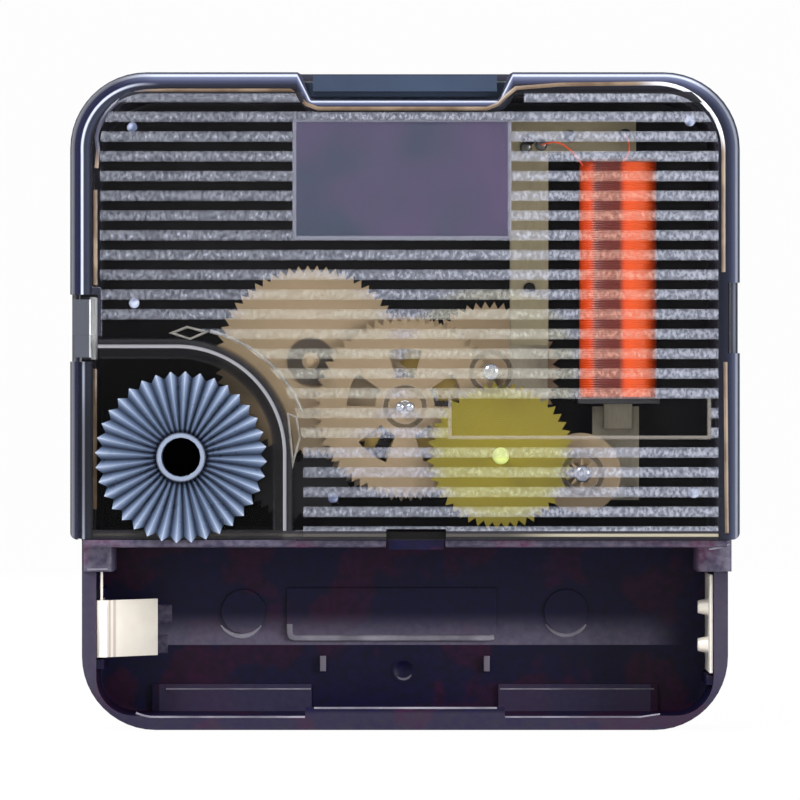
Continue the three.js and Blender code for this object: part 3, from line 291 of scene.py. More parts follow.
def dress(name, finish, bevel=0.0, segments=2, even=False):
    """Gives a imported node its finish, rounds its edges by a bevel and smooths its curved faces.
    Even weighs the normals by area, so that large flat faces stay flat to the light."""
    part = nodes[name]
    part.data.materials.clear()
    part.data.materials.append(finish.material)
    part.data.shade_smooth()
    weld = part.modifiers.new("weld", "WELD")
    weld.merge_threshold = 0.001 * mm
    if bevel:
        rounding = part.modifiers.new("bevel", "BEVEL")
        rounding.width = bevel
        rounding.segments = segments
        rounding.limit_method = "ANGLE"
        rounding.angle_limit = math.radians(40)
        rounding.use_clamp_overlap = True
    split = part.modifiers.new("split", "EDGE_SPLIT")
    split.split_angle = math.radians(38)
    if even:
        part.modifiers.new("even", "WEIGHTED_NORMAL")


# Floor and backdrop. A pale sheet under the tray that sweeps up behind, not part of the movement.
# It is white to the camera and to mirrors, and takes a faint contact shadow.
floor_half = 1.5
sweep_radius = 0.6
sweep_angles = np.linspace(0, math.pi / 2, 13)
sweep_y = np.concatenate([[-floor_half], floor_half + sweep_radius * np.sin(sweep_angles)])
sweep_z = np.concatenate([[0], sweep_radius * (1 - np.cos(sweep_angles))])
floor_points = np.array(
    [(side * floor_half * 2, y, z) for y, z in zip(sweep_y, sweep_z) for side in (-1, 1)],
)
floor_rows = np.arange(len(sweep_y) - 1)[:, None] * 2
floor_mesh = bpy.data.meshes.new("floor")
floor_mesh.from_pydata(floor_points.tolist(), [], (floor_rows + [0, 1, 3, 2]).tolist())
floor_mesh.shade_smooth()
floor = bpy.data.objects.new("floor", floor_mesh)
bpy.context.scene.collection.objects.link(floor)
paper = Finish("pale_floor", roughness=0.9)
paper.put("Base Color", paper.mix(paper.noise(30), (0.9, 0.9, 0.9, 1), (0.94, 0.94, 0.94, 1)))
white_glow = paper.node("ShaderNodeEmission", {}, {"Color": white, "Strength": 1})
paper_ray = paper.node("ShaderNodeLightPath", {}, {}).outputs
paper_seen = Value(paper, paper_ray["Is Camera Ray"]) + Value(paper, paper_ray["Is Glossy Ray"])
paper_seen = paper_seen + Value(paper, paper_ray["Is Transmission Ray"])
glow_share = 0.965
paper_mix = paper.node(
    "ShaderNodeMixShader", {},
    [paper_seen * glow_share, paper.shader.outputs[0], white_glow.outputs[0]],
)
paper_out = paper.tree.nodes["Material Output"]
paper.tree.links.new(paper_mix.outputs[0], paper_out.inputs["Surface"])
floor_mesh.materials.append(paper.material)


# Front case. One black moulding holds the train, the motor and the open cell tray. It is
# polystyrene with a fine spark texture, a blue and plum cast in the tray, and a slate grey hook on
# its left clip. Light and shade are painted too: a paler sheen on the tray's rim and on the curved
# floor of its cradle, a near white highlight on the hook's inner edge, and near black shade in the
# room of the train and the slot by the lip.
case = Finish("case_black", roughness=0.4, ior=1.28)
case_cloud = case.noise(190, 4)
case_patch = case.noise(150)
case_speck = case.noise(1700)
case_across = case.x.size()
bay_low, bay_half, tray_top, floor_face = 0.9 * mm, 26.4 * mm, 16.05 * mm, -1.2 * mm
on_rim = case.y.below(-11.2 * mm)
in_bay = case_across.below(bay_half) * case.z.above(bay_low) * case.y.below(floor_face)
in_tray = case.z.below(tray_top) * on_rim.at_least(in_bay)
case_cast = case.mix(case_patch.above(0.54, 0.03), colour(8, 6, 50), colour(46, 2, 42))
case_cast = case.mix(case_cloud.above(0.55, 0.3) * 0.5, case_cast, colour(26, 22, 56))
case_cast = case.mix(case_speck.above(0.5, 0.25) * 0.6, case_cast, colour(7, 5, 20))
ledge_x, ledge_y, ledge_z = (7.6 * mm, 21 * mm), (-2.3 * mm, -1.5 * mm), (bay_low, 3.75 * mm)
ledges = case.z.between(*ledge_z) * case.y.between(*ledge_y) * case_across.between(*ledge_x)
case_cast = case.mix(ledges * (0.3 + case_speck * 0.6), case_cast, colour(62, 56, 82))
case_plain = case.mix(case_cloud, colour(24, 23, 30), colour(38, 37, 46))
case_tint = case.mix(in_tray, case_plain, case_cast)
cradle_low, cradle_fade, cradle_half = 6.84 * mm, 1.5 * mm, 22 * mm
# Painted highlight: a pale band along the cradle's curved floor, fading upward from its lowest
# line.
cradle_highlight = (
    case.z.above(cradle_low) * case.z.below(cradle_low + cradle_fade, cradle_fade)
    * case.y.between(-2.3 * mm, floor_face) * case_across.below(cradle_half, 2 * mm)
)
wedge_x, wedge_half = 7 * mm, 0.35 * mm
wedge_y, wedge_z = (-2.3 * mm, -1.45 * mm), (4.3 * mm, 6.2 * mm)
wedges = (
    (case_across - wedge_x).size().below(wedge_half, 0.05 * mm)
    * case.z.between(*wedge_z) * case.y.between(*wedge_y)
)
case_tint = case.mix(cradle_highlight * (0.4 + case_speck * 0.7), case_tint, colour(112, 106, 128))
case_tint = case.mix(wedges * 0.8, case_tint, colour(128, 122, 136))
room_half, room_top, room_corner = 25.8 * mm, 53 * mm, 5 * mm
past_room = case.past_corner(
    case_across - (room_half - room_corner), case.z - (room_top - room_corner),
)
shaded_train_room = (
    case.z.above(16.9 * mm, 0.2 * mm) * case.y.between(-14.4 * mm, floor_face)
    * past_room.below(room_corner, 0.1 * mm)
)
shaded_lip_slot = case.z.between(16.1 * mm, 18 * mm) * case.x.between(-1.7 * mm, 3.6 * mm) * on_rim
# Painted shade: the room of the train under the cover and the slot by the lip are near black.
case_tint = case.mix(shaded_train_room.at_least(shaded_lip_slot), case_tint, colour(9, 7, 9))
case_half, case_corner = 27.2 * mm, 6.2 * mm
case_edge = case_corner - case.past_corner(
    case_across - (case_half - case_corner), case_corner - case.z,
)
tray_rim = case.y.below(-10.8 * mm) * case.z.below(15.9 * mm)
# Painted sheen: the tray's rim is paler within 1.5 mm of its outer edge, more so above its lowest 3
# mm, where the light catches it.
case_worn = tray_rim * case_edge.below(1.5 * mm, 0.2 * mm)
case_worn = case_worn * (0.12 + case.z.above(3 * mm, 2.2 * mm) * 0.38 + case_speck * 0.35)
case_tint = case.mix(case_worn, case_tint, colour(72, 66, 82))
clip_face = case.y.below(-9 * mm)
top_clip_low, top_clip_half = 52.4 * mm, 8.3 * mm
top_clip = case.z.above(top_clip_low) * case_across.below(top_clip_half, 0.2 * mm) * clip_face
case_tint = case.mix(top_clip * (0.5 + case_cloud * 0.4), case_tint, colour(58, 73, 97))
hook_inner_edge, hook_z = -26.3 * mm, (31.2 * mm, 36.4 * mm)
hook_zone = case.x.below(hook_inner_edge + 0.7 * mm) * case.z.between(*hook_z) * clip_face
hook_highlight = hook_zone * case.x.above(hook_inner_edge - 0.1 * mm, 0.06 * mm)
case_tint = case.mix(hook_zone, case_tint, colour(74, 77, 86))
# Painted highlight: a near white line along the hook's inner edge.
case_tint = case.mix(hook_highlight, case_tint, colour(236, 238, 240))
case.put("Base Color", case_tint)
case.put("Roughness", 0.34 + case_cloud * 0.2)
case.bump(case.noise(5200), 0.012 * mm, 0.5)
dress("front_case", case, bevel=0.22 * mm, segments=3, even=True)


# Back cover. A clear styrene moulding clipped over the case. Its ribs are frosted, the name plate
# and the window between them are smooth. Light and shade are painted on it: pale lines and dark
# bands on its thick edge, darker on the right side; pale and dark bands on the well's wall; dark
# rings round three bosses; pale frames round the plate and the window and a pale line along the
# bottom, brighter on the right; and ribs tinted by the light from the wheels and the coil below
# them, more opaque and so brighter toward the right.
cover_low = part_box("back_cover")[0]
rib_foot = cover_low.y + 0.25 * mm
cover_corner = 6.4 * mm
top_notch_half, top_notch_depth, notch_slope = 9 * mm, 2.3 * mm, 0.5
left_notch_depth, left_notch_z, left_notch_half = 2.3 * mm, 34 * mm, 2.9 * mm
right_notch_depth, right_notch_z, right_notch_half = 1.0 * mm, 34.65 * mm, 3 * mm
plate_left, plate_right = -9.4 * mm, 8.9 * mm
plate_low, plate_high = 41.2 * mm, 51.2 * mm
window_left, window_right = 3.9 * mm, 25.3 * mm
window_low, window_high = 24.8 * mm, 27.9 * mm
well_axis = (-19.1 * mm, 23.25 * mm)
well_radius = 8.9 * mm

cover = Finish("cover_clear", roughness=0.1, ior=1.42)
proud = cover.y.below(rib_foot, 0.03 * mm)
frost = cover.noise(3300, 3, (1.1, 1, 0.8))
coarse_frost = cover.noise(700, 2, (1, 1, 0.4))
rib_top, rib_pitch, rib_half = 53.11 * mm, 1.651 * mm, 0.44 * mm
rib_row = (cover.z - rib_top) / rib_pitch
rib_off = (rib_row - rib_row.math("ROUND")).size() * (rib_pitch / rib_half)
rib_swell = 1 - (rib_off * rib_off).at_most(1) * 0.5
cloud = cover.noise(110)
# Painted light: the ribs grow more opaque, and so brighter, toward the right, where the light
# falls.
right_lit = cover.x.above(2 * mm, 24 * mm)

cover_across = cover.x.size()
edge = cover_corner - cover.past_corner(
    cover_across - (cad_high.x - cover_corner), cover.z - (cad_high.z - cover_corner),
)
notch_edge_widening = 1.7
edge = edge.at_most(notch_edge_widening * cover.past_corner(
    cover_across - top_notch_half + (cad_high.z - cover.z) * notch_slope,
    (cad_high.z - top_notch_depth) - cover.z,
))
side_notch = cover.past_corner(
    cover.x - (left_notch_depth - cad_high.x),
    (cover.z - left_notch_z).size() - left_notch_half,
).at_most(cover.past_corner(
    (cad_high.x - right_notch_depth) - cover.x,
    (cover.z - right_notch_z).size() - right_notch_half,
))
edge_span = 2.5 * mm
slate, ink, pale = colour(62, 66, 92), colour(14, 14, 24), colour(205, 212, 232)
navy, edge_grey, left_grey = colour(20, 22, 52), colour(50, 52, 70), colour(52, 54, 66)
# Painted highlight and shade on the thick edge: pale lines and dark bands along it, where its
# rounded edge catches the light.
edge_tint, edge_alpha = cover.ramp(edge / edge_span, [
    (0.0, edge_grey, 0.9), (0.03, edge_grey, 0.9), (0.05, slate, 0.9), (0.09, pale, 0.85),
    (0.13, pale, 0.85), (0.17, colour(104, 112, 142), 0.9), (0.3, slate, 0.95),
    (0.42, colour(34, 36, 50), 0.95), (0.6, ink, 0.95), (0.7, ink, 0.9), (0.74, ink, 0.0),
])
left_tint, left_alpha = cover.ramp(edge / edge_span, [
    (0.0, left_grey, 0.9), (0.03, left_grey, 0.9), (0.05, colour(112, 112, 120), 0.9),
    (0.13, colour(80, 82, 94), 0.9), (0.17, navy, 0.95), (0.34, navy, 0.95), (0.38, pale, 0.9),
    (0.41, pale, 0.9), (0.46, colour(38, 42, 58), 0.95), (0.6, colour(48, 52, 70), 0.95),
    (0.7, ink, 0.9), (0.74, ink, 0.0),
])
left_side = cover.x.below(-22.5 * mm, 2.2 * mm)
edge_tint = cover.mix(left_side, edge_tint, left_tint)
edge_alpha = edge_alpha * (1 - left_side) + left_side * left_alpha
# Painted shade: the edge is darker navy on the right side, where the light falls more strongly.
edge_tint = cover.mix(cover.x.above(25 * mm, 1.2 * mm) * 0.65, edge_tint, colour(18, 22, 40))
well_away = cover.past_corner(cover.x - well_axis[0], cover.z - well_axis[1]) - well_radius
well_half_span = 1 * mm
# Painted highlight and shade on the well's wall: pale bands between dark ones.
well_tint, well_alpha = cover.ramp((well_away + well_half_span) / (2 * well_half_span), [
    (0.0, ink, 0.0), (0.1, colour(50, 50, 54), 0.6), (0.16, ink, 0.7), (0.48, ink, 0.85),
    (0.5, colour(150, 150, 156), 0.9), (0.62, colour(128, 128, 134), 0.9), (0.65, ink, 0.9),
    (0.82, colour(44, 44, 46), 0.7), (0.9, ink, 0.25), (1.0, ink, 0.0),
])
in_well = well_away.below(-0.9 * mm, 0.05 * mm)
near_well = well_away.between(-well_half_span, well_half_span, 0.01 * mm)
on_plate = (
    cover.x.between(plate_left, plate_right) * cover.z.between(plate_low, plate_high) * (1 - proud)
)
# Painted highlight: pale frames round the name plate and the window.
frame_width = 0.3 * mm
plate_frame_highlight = on_plate * (1 - (
    cover.x.between(plate_left + frame_width, plate_right - frame_width)
    * cover.z.between(plate_low + frame_width, plate_high - frame_width / 2)
))
window_frame_highlight = (
    cover.x.between(window_left - frame_width, window_right + frame_width)
    * cover.z.between(window_low - frame_width, window_high)
    * (1 - cover.x.between(window_left, window_right) * cover.z.between(window_low, window_high))
)
face_thickness = 0.7 * mm
outer_skin = 0.15 + 0.85 * cover.y.below(cover_low.y + face_thickness)
# Painted shade: dark rings round the bosses of the seconds, motion and rotor arbors.
seconds_ring, motion_ring, rotor_ring = (
    cover.from_axis(pivot_axes[joint]).between(1.4 * mm, 1.85 * mm, 0.08 * mm)
    for joint in ("seconds_spin", "motion_spin", "rotor_spin")
)
boss_ring_shade = seconds_ring.at_least(motion_ring).at_least(rotor_ring)
low_edge = cover.z.below(cover_low.z + 0.75 * mm, 0.05 * mm)
# Painted highlight: a pale line along the bottom of the cover, brighter on the right.
low_highlight = cover.z.between(cover_low.z + 0.25 * mm, cover_low.z + 0.5 * mm, 0.04 * mm)
low_highlight = low_highlight * (0.12 + cover.x.above(11 * mm, 3 * mm) * 0.75)

cover_tint = cover.mix(coarse_frost, colour(130, 132, 146), colour(190, 190, 200))
cover_alpha = (0.002 + coarse_frost * 0.008) * outer_skin
# Painted light: the ribs take the colour of the light from the wheels and the coil beneath them.
ribs_lit_by_train = cover.from_axis(pivot_axes["third_spin"]).at_most(
    cover.from_axis(pivot_axes["motion_spin"]),
).below(7.2 * mm, 0.8 * mm)
ribs_lit_by_coil = (
    cover.x.between(14.6 * mm, 20.9 * mm, 0.3 * mm)
    * cover.z.between(27.9 * mm, 47.8 * mm, 0.3 * mm)
)
ribs_lit_by_green = cover.from_axis(pivot_axes["intermediate_spin"]).below(5.2 * mm, 0.8 * mm)
rib_grain = frost.above(0.5, 0.3)
rib_shade = cover.mix(ribs_lit_by_train, colour(132, 138, 158), colour(166, 163, 152))
rib_shade = cover.mix(ribs_lit_by_green, rib_shade, colour(160, 162, 122))
rib_shade = cover.mix(ribs_lit_by_coil, rib_shade, colour(166, 112, 100))
rib_light = cover.mix(ribs_lit_by_train, colour(216, 220, 236), colour(214, 214, 204))
rib_light = cover.mix(ribs_lit_by_green, rib_light, colour(214, 218, 178))
rib_light = cover.mix(ribs_lit_by_coil, rib_light, colour(228, 174, 156))
rib_tint = cover.mix(rib_grain, rib_shade, rib_light)
rib_alpha = 0.14 + rib_grain * 0.15 + coarse_frost * 0.12 + right_lit * 0.17
rib_alpha = rib_alpha * outer_skin * rib_swell
plate_tint = cover.mix(cloud.above(0.5, 0.2), colour(94, 104, 126), colour(122, 108, 144))
# Each layer of the cover's look, as a mask, a tint and an alpha, lies over those before it.
layers = [
    (proud, rib_tint, rib_alpha),
    (boss_ring_shade * (1 - proud * 0.6), colour(26, 22, 16), 0.6 * outer_skin),
    (on_plate, plate_tint, (0.3 + frost * 0.14) * outer_skin),
    (plate_frame_highlight, colour(170, 172, 190), 0.4 * outer_skin),
    (window_frame_highlight, colour(180, 172, 164), 0.34 * outer_skin),
    (side_notch.below(0.32 * mm, 0.05 * mm), colour(44, 46, 60), 0.85),
    (in_well, colour(14, 14, 16), 0.1),
    (near_well, well_tint, well_alpha),
    (low_edge, colour(38, 36, 44), 0.85),
    (low_highlight, colour(180, 172, 150), 0.8),
    (edge.below(0.72 * edge_span, 0.02 * mm), edge_tint, edge_alpha),
]
for mask, tint, alpha in layers:
    cover_tint = cover.mix(mask, cover_tint, tint)
    cover_alpha = cover_alpha * (1 - mask) + mask * alpha
cover.put("Base Color", cover_tint)
cover.put("Alpha", cover_alpha)
cover.put("Roughness", 0.1 + proud * 0.35)
cover.bump(frost, 0.02 * mm, 0.35)
dress("back_cover", cover, bevel=0.1 * mm, even=True)


# Joint bead of the cover. A fine warm line just inside the thick edge, where the cover's welding
# rib stands on the case's wall. Its warm tan is a painted reflection of light off the wall's top
# edge, its white at the upper right corner is a painted highlight, and it is darker slate at the
# upper left. It breaks off at the clips, and by the knob it lies on the well's floor.
def grid_faces(rows, columns, closed=False):
    """Faces between the neighbours of a grid of points, numbered row by row. The grid closes
    round its columns, and round its rows too where closed is True."""
    row = np.arange(rows if closed else rows - 1)[:, None]
    column = np.arange(columns)[None]
    after, beside = (row + 1) % rows, (column + 1) % columns
    return np.stack([
        row * columns + column, row * columns + beside, after * columns + beside,
        after * columns + column,
    ], axis=-1).reshape(-1, 4)


def sweep(path, side, rise, profile, closed=False):
    """Carries a closed profile (u, v) along a path: each point is the path's place + u times the
    side direction + v times the rise direction, where one row of a direction serves the whole
    path. Returns the points and the arrays of faces, with caps on open ends."""
    profile = np.asarray(profile)
    points = path[:, None] + side[:, None] * profile[:, :1] + rise[:, None] * profile[:, 1:]
    rows, columns = points.shape[:2]
    faces = [grid_faces(rows, columns, closed)]
    if not closed:
        first_cap = np.arange(columns)[::-1]
        last_cap = np.arange(columns) + (rows - 1) * columns
        faces.append(np.stack([first_cap, last_cap]))
    return points.reshape(-1, 3), faces


def flat_sides(path, closed=False):
    """The mitred normals, in the x-z plane, of a path that lies in it."""
    before = np.roll(path, 1, axis=0) if closed else np.vstack([path[:1], path[:-1]])
    after = np.roll(path, -1, axis=0) if closed else np.vstack([path[1:], path[-1:]])
    along_in, along_out = path - before, after - path
    if not closed:
        along_in[0], along_out[-1] = along_out[0], along_in[-1]
    unit_in = along_in / np.linalg.norm(along_in, axis=1, keepdims=True)
    unit_out = along_out / np.linalg.norm(along_out, axis=1, keepdims=True)
    normal_in = np.stack([-unit_in[:, 2], unit_in[:, 1], unit_in[:, 0]], axis=1)
    normal_out = np.stack([-unit_out[:, 2], unit_out[:, 1], unit_out[:, 0]], axis=1)
    middle_way = normal_in + normal_out
    middle_way /= np.linalg.norm(middle_way, axis=1, keepdims=True)
    return middle_way / np.sum(middle_way * normal_in, axis=1, keepdims=True)


def add_piece(name, parts, finish, body, smooth_angle=40):
    """Joins computed (points, arrays of faces) parts in one mesh at the origin, on a body."""
    starts = np.cumsum([0] + [len(points) for points, _ in parts])
    faces = []
    for (_, face_arrays), start in zip(parts, starts):
        for face_array in face_arrays:
            faces += (face_array + start).tolist()
    mesh = bpy.data.meshes.new(name)
    mesh.from_pydata(np.concatenate([points for points, _ in parts]).tolist(), [], faces)
    work = bmesh.new()
    work.from_mesh(mesh)
    bmesh.ops.remove_doubles(work, verts=work.verts, dist=0.0005 * mm)
    bmesh.ops.recalc_face_normals(work, faces=work.faces)
    work.to_mesh(mesh)
    work.free()
    mesh.shade_smooth()
    mesh.materials.append(finish.material)
    piece = bpy.data.objects.new(name, mesh)
    bpy.context.scene.collection.objects.link(piece)
    split = piece.modifiers.new("split", "EDGE_SPLIT")
    split.split_angle = math.radians(smooth_angle)
    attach(piece, body)
    return piece


def on_face(pixels, depth):
    """Points over a list of pixels of the photograph, at a depth from the dial."""
    places = [photo_point(*pixel, depth) for pixel in pixels]
    return np.array([(x, -depth, z) for x, z in places])


def arc_pixels(centre, radius, start, end, steps):
    """Pixels on a circle from a start to an end angle in degrees, counted up from the right."""
    angles = np.radians(np.linspace(start, end, steps))
    return [(centre[0] + radius * math.cos(a), centre[1] - radius * math.sin(a)) for a in angles]


bead_depth, well_floor_depth = 15.7 * mm, 12.95 * mm
bead_lines = [
    (bead_depth, [(95.5, 285), (95.5, 190)]),
    (bead_depth, [
        (96.5, 168), (98, 150), *arc_pixels((150, 145), 54, 172, 95, 9), (165, 90.5), (290, 90.5),
        (298, 96), (306, 104), (318, 108.5), (487, 108.5), (498, 104), (506, 96), (516, 88),
        (560, 84.5), (640, 83.5), *arc_pixels((656, 151), 67.5, 90, 0, 17), (723.5, 272),
    ]),
    (bead_depth, [(725.5, 362), (726.5, 500), (727, 533)]),
    (well_floor_depth, [(95, 369), (95, 509)]),
]
bead_half, bead_rise = 0.16 * mm, 0.12 * mm
bead_profile = [
    (-bead_half, -bead_rise), (bead_half, -bead_rise), (bead_half, 0), (0, bead_rise * 0.6),
    (-bead_half, 0),
]
to_right, away_from_dial, to_top = np.array([[[1, 0, 0]], [[0, -1, 0]], [[0, 0, 1]]])
bead_parts = []
for depth, line in bead_lines:
    path = on_face(line, depth)
    bead_parts.append(sweep(path, flat_sides(path), away_from_dial, bead_profile))
bead = Finish("bead_warm", roughness=0.3)
bead_cloud = bead.noise(420)
bead_corner_highlight = bead.z.above(49.5 * mm, 1.2 * mm) * bead.x.above(20.5 * mm, 1.5 * mm)
bead_dim = bead.z.above(48.2 * mm, 1 * mm) * bead.x.below(-22 * mm, 1.4 * mm)
bead_tint = bead.mix(bead_cloud.above(0.5, 0.2), colour(100, 80, 62), colour(140, 120, 100))
bead_tint = bead.mix(bead_dim, bead_tint, colour(54, 56, 78))
bead.put("Base Color", bead.mix(bead_corner_highlight, bead_tint, colour(236, 238, 246)))
bead.put("Roughness", 0.26 + bead_cloud * 0.2)
add_piece("joint_bead", bead_parts, bead, "housing")


# Direction arrow. A plain curved arrow moulded proud of the cover round the knob's well, with an
# open head at each end. It is the cover's own clear styrene, and its rounded line catches light.
def ridge(pixels, depth, half, rise, closed=False, taper=0.0):
    """A raised line over pixels of the photograph: a rounded profile carried along the path, made
    narrower toward both ends by a share, taper, of 1 - sin of the way along it."""
    path = on_face(pixels, depth)
    width = 1 - taper * (1 - np.sin(np.linspace(0, math.pi, len(path))))[:, None]
    angles = np.linspace(0, math.pi, 5)
    top = np.stack([half * np.cos(angles), rise * np.sin(angles)], axis=1)
    profile = np.concatenate([top, [(-half, -rise), (half, -rise)]])
    return sweep(path, flat_sides(path, closed) * width, away_from_dial * width, profile, closed)


arrow = Finish("raised_line", roughness=0.22, ior=1.49)
arrow_cloud = arrow.noise(900)
arrow.put("Base Color", arrow.mix(arrow_cloud, colour(112, 110, 106), colour(172, 168, 162)))
arrow.put("Alpha", 0.5 + arrow_cloud * 0.3)
arrow.put("Roughness", 0.18 + arrow_cloud * 0.2)
knob_pixel, arrow_radius = (181, 457), 129
arrow_half, head_half, arrow_rise, face_depth = 0.15 * mm, 0.1 * mm, 0.2 * mm, 15.6 * mm
head_outlines = [
    [(172, 333), (187, 327), (206, 332), (190, 339)],
    [(288, 414), (296, 417), (300, 437), (293, 463)],
]
arrow_parts = [
    ridge(arc_pixels(knob_pixel, arrow_radius, 77, 21, 25), face_depth, arrow_half, arrow_rise),
    *(ridge(outline, face_depth, head_half, arrow_rise, True) for outline in head_outlines),
]
add_piece("direction_arrow", arrow_parts, arrow, "housing")


# Marks and bearing domes of the cover. Five small pips left by the mould, and the polished domes
# over the ends of four arbors, which gather the light in small glints.
def turned(axis, profile, sides=24):
    """Turns a profile (radius, depth) about an axis along the depth: each point is the axis +
    radius times (cos, sin). The profile starts and ends on the axis, so the shape is closed."""
    profile = np.asarray(profile)
    angles = np.arange(sides) * math.tau / sides
    points = np.stack([
        axis[0] + profile[:, :1] * np.cos(angles), -profile[:, 1:] + 0 * angles,
        axis[1] + profile[:, :1] * np.sin(angles),
    ], axis=-1)
    return points.reshape(-1, 3), [grid_faces(len(profile), sides)]


def dome(axis, radius, depth, rise, sunk):
    """A cap, radius times cos and rise times sin of an angle, whose foot is sunk in its carrier."""
    angles = np.linspace(0, math.pi / 2, 8)
    cap = [(radius * math.cos(a), depth + rise * math.sin(a)) for a in angles]
    return turned(axis, [(0, depth - sunk), (radius, depth - sunk), *cap[:-1], (0, depth + rise)])


pip = Finish("mould_pip", roughness=0.12, ior=1.49)
pip_cloud = pip.noise(900, 1)
pip_tint = pip.mix(pip_cloud.above(0.5, 0.1), colour(96, 106, 138), colour(196, 206, 232))
pip.put("Base Color", pip_tint)
pip.put("Alpha", 0.55 + pip_cloud * 0.4)
pip_pixels = [(132, 127), (690, 121), (134, 303), (694, 493), (333, 498)]
pip_radius, pip_rise, dome_sunk = 0.44 * mm, 0.34 * mm, 0.1 * mm
pip_parts = [
    dome(photo_point(*pixel), pip_radius, face_depth, pip_rise, dome_sunk) for pixel in pip_pixels
]
add_piece("mould_pips", pip_parts, pip, "housing")

glint = Finish("bearing_dome", roughness=0.08, metallic=0.85)
glint_cloud = glint.noise(420, 1)
# Painted highlight: the dome over the intermediate arbor is pale yellow-green plastic instead of
# metal, standing for its glint.
green_glint = glint.from_axis(pivot_axes["intermediate_spin"]).below(1.5 * mm)
glint_tint = glint.mix(glint_cloud.above(0.5, 0.3), colour(128, 130, 142), colour(226, 228, 238))
glint.put("Base Color", glint.mix(green_glint, glint_tint, colour(196, 208, 120)))
glint.put("Metallic", 0.85 - green_glint * 0.85)
glint_rise, twin_glint, lone_glint = 0.36 * mm, 0.42 * mm, 0.72 * mm
glint_places = [
    ("seconds_spin", -twin_glint, twin_glint), ("seconds_spin", twin_glint, twin_glint),
    ("motion_spin", 0, lone_glint), ("rotor_spin", 0, lone_glint),
    ("intermediate_spin", 0, lone_glint),
]
glint_parts = []
for joint, shift, radius in glint_places:
    axis_x, axis_z = pivot_axes[joint]
    glint_parts.append(dome((axis_x + shift, axis_z), radius, face_depth, glint_rise, dome_sunk))
add_piece("bearing_domes", glint_parts, glint, "housing")


# Setting knob. A blue-grey acetal moulding whose radial ridges give a fingertip grip. It turns
# the minute pipe through the idler. Light and shade are painted on it: pale crests and dark
# valleys by depth, a dark groove round the hub, and a near black hole.
knob = Finish("knob_blue", roughness=0.26, coat=0.3)
knob_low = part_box("setting_knob")[0]
knob_hole_radius, hub_ring_radius, hub_groove_radius = 1.62 * mm, 2.0 * mm, 2.3 * mm
ridge_shade_depth = 1.1 * mm
shade = ((knob.y - knob_low.y) / ridge_shade_depth).at_most(1).at_least(0)
knob_cloud = knob.noise(700)
# Painted highlight and shade: pale on the ridges' crests, darker down toward the valleys.
ridge_light_and_shade = knob.ramp(shade, [
    (0.0, colour(222, 230, 246), 1), (0.08, colour(186, 198, 224), 1),
    (0.22, colour(140, 156, 182), 1), (0.5, colour(84, 98, 122), 1), (0.9, colour(16, 20, 34), 1),
])[0]
knob_tint = knob.mix(knob_cloud * 0.4, ridge_light_and_shade, colour(112, 128, 160))
knob_away = knob.from_axis(pivot_axes["knob_spin"])
hub_top = knob_away.between(knob_hole_radius - 0.02 * mm, hub_ring_radius + 0.05 * mm, 0.05 * mm)
knob_tint = knob.mix(hub_top * 0.8, knob_tint, colour(96, 110, 138))
# Painted shade: a dark groove round the hub.
hub_groove_shade = knob_away.between(hub_ring_radius - 0.04 * mm, hub_groove_radius, 0.06 * mm)
knob_tint = knob.mix(hub_groove_shade * 0.75, knob_tint, colour(30, 36, 54))
# Painted shade: the hole is near black.
knob_hole_shade = knob_away.below(knob_hole_radius, 0.04 * mm)
hole_shade_black = (0.0006, 0.0006, 0.001, 1)
knob_tint = knob.mix(knob_hole_shade, knob_tint, hole_shade_black)
knob.put("Metallic", knob_hole_shade)
knob.put("Coat Weight", 0.3 - knob_hole_shade * 0.3)
knob.put("Base Color", knob_tint)
knob.put("Roughness", 0.22 + knob_cloud * 0.14)
dress("setting_knob", knob, bevel=0.12 * mm, segments=3)


# Wheels. Injection-moulded acetal: black, beige, and yellow-green for the intermediate wheel. Each
# is a little darker toward its teeth, with fine turning marks and a bright pivot's tip, and the
# third wheel has a ring of painted shade round its hub.
def wheel_finish(name, joint, light, dark, hub_shade):
    """Plastic that darkens outward from an axis. A hub shade of 0 means a steel tip and no ring of
    painted shade.
    """
    pivot_tip, hub_radius, spread, ring_pitch = 0.1 * mm, 0.7 * mm, 8 * mm, 0.16 * mm
    made = Finish(name, roughness=0.42, coat=0.1)
    away = made.from_axis(pivot_axes[joint])
    steel_tip = away.below(pivot_tip, 0.01 * mm)
    speckle = made.noise(1500)
    fade = (away / spread).at_most(1) * 0.6 + speckle * 0.3
    tint = made.mix(fade, light, dark)
    if hub_shade:
        # Painted shade: a dark ring round the third wheel's hub, under the cover's boss.
        shaded = away.between(hub_radius, hub_shade, 0.12 * mm)
        tint = made.mix(shaded, tint, colour(58, 48, 36))
        tint = made.mix(away.below(hub_radius, 0.05 * mm), tint, light)
    else:
        tint = made.mix(steel_tip, tint, colour(205, 208, 214))
        made.put("Metallic", steel_tip)
    made.put("Base Color", tint)
    made.put("Roughness", 0.44 - steel_tip * 0.22 + speckle * 0.05)
    turning_marks = (away * (math.tau / ring_pitch)).math("SINE")
    made.bump(turning_marks, 0.004 * mm, 0.3)
    return made


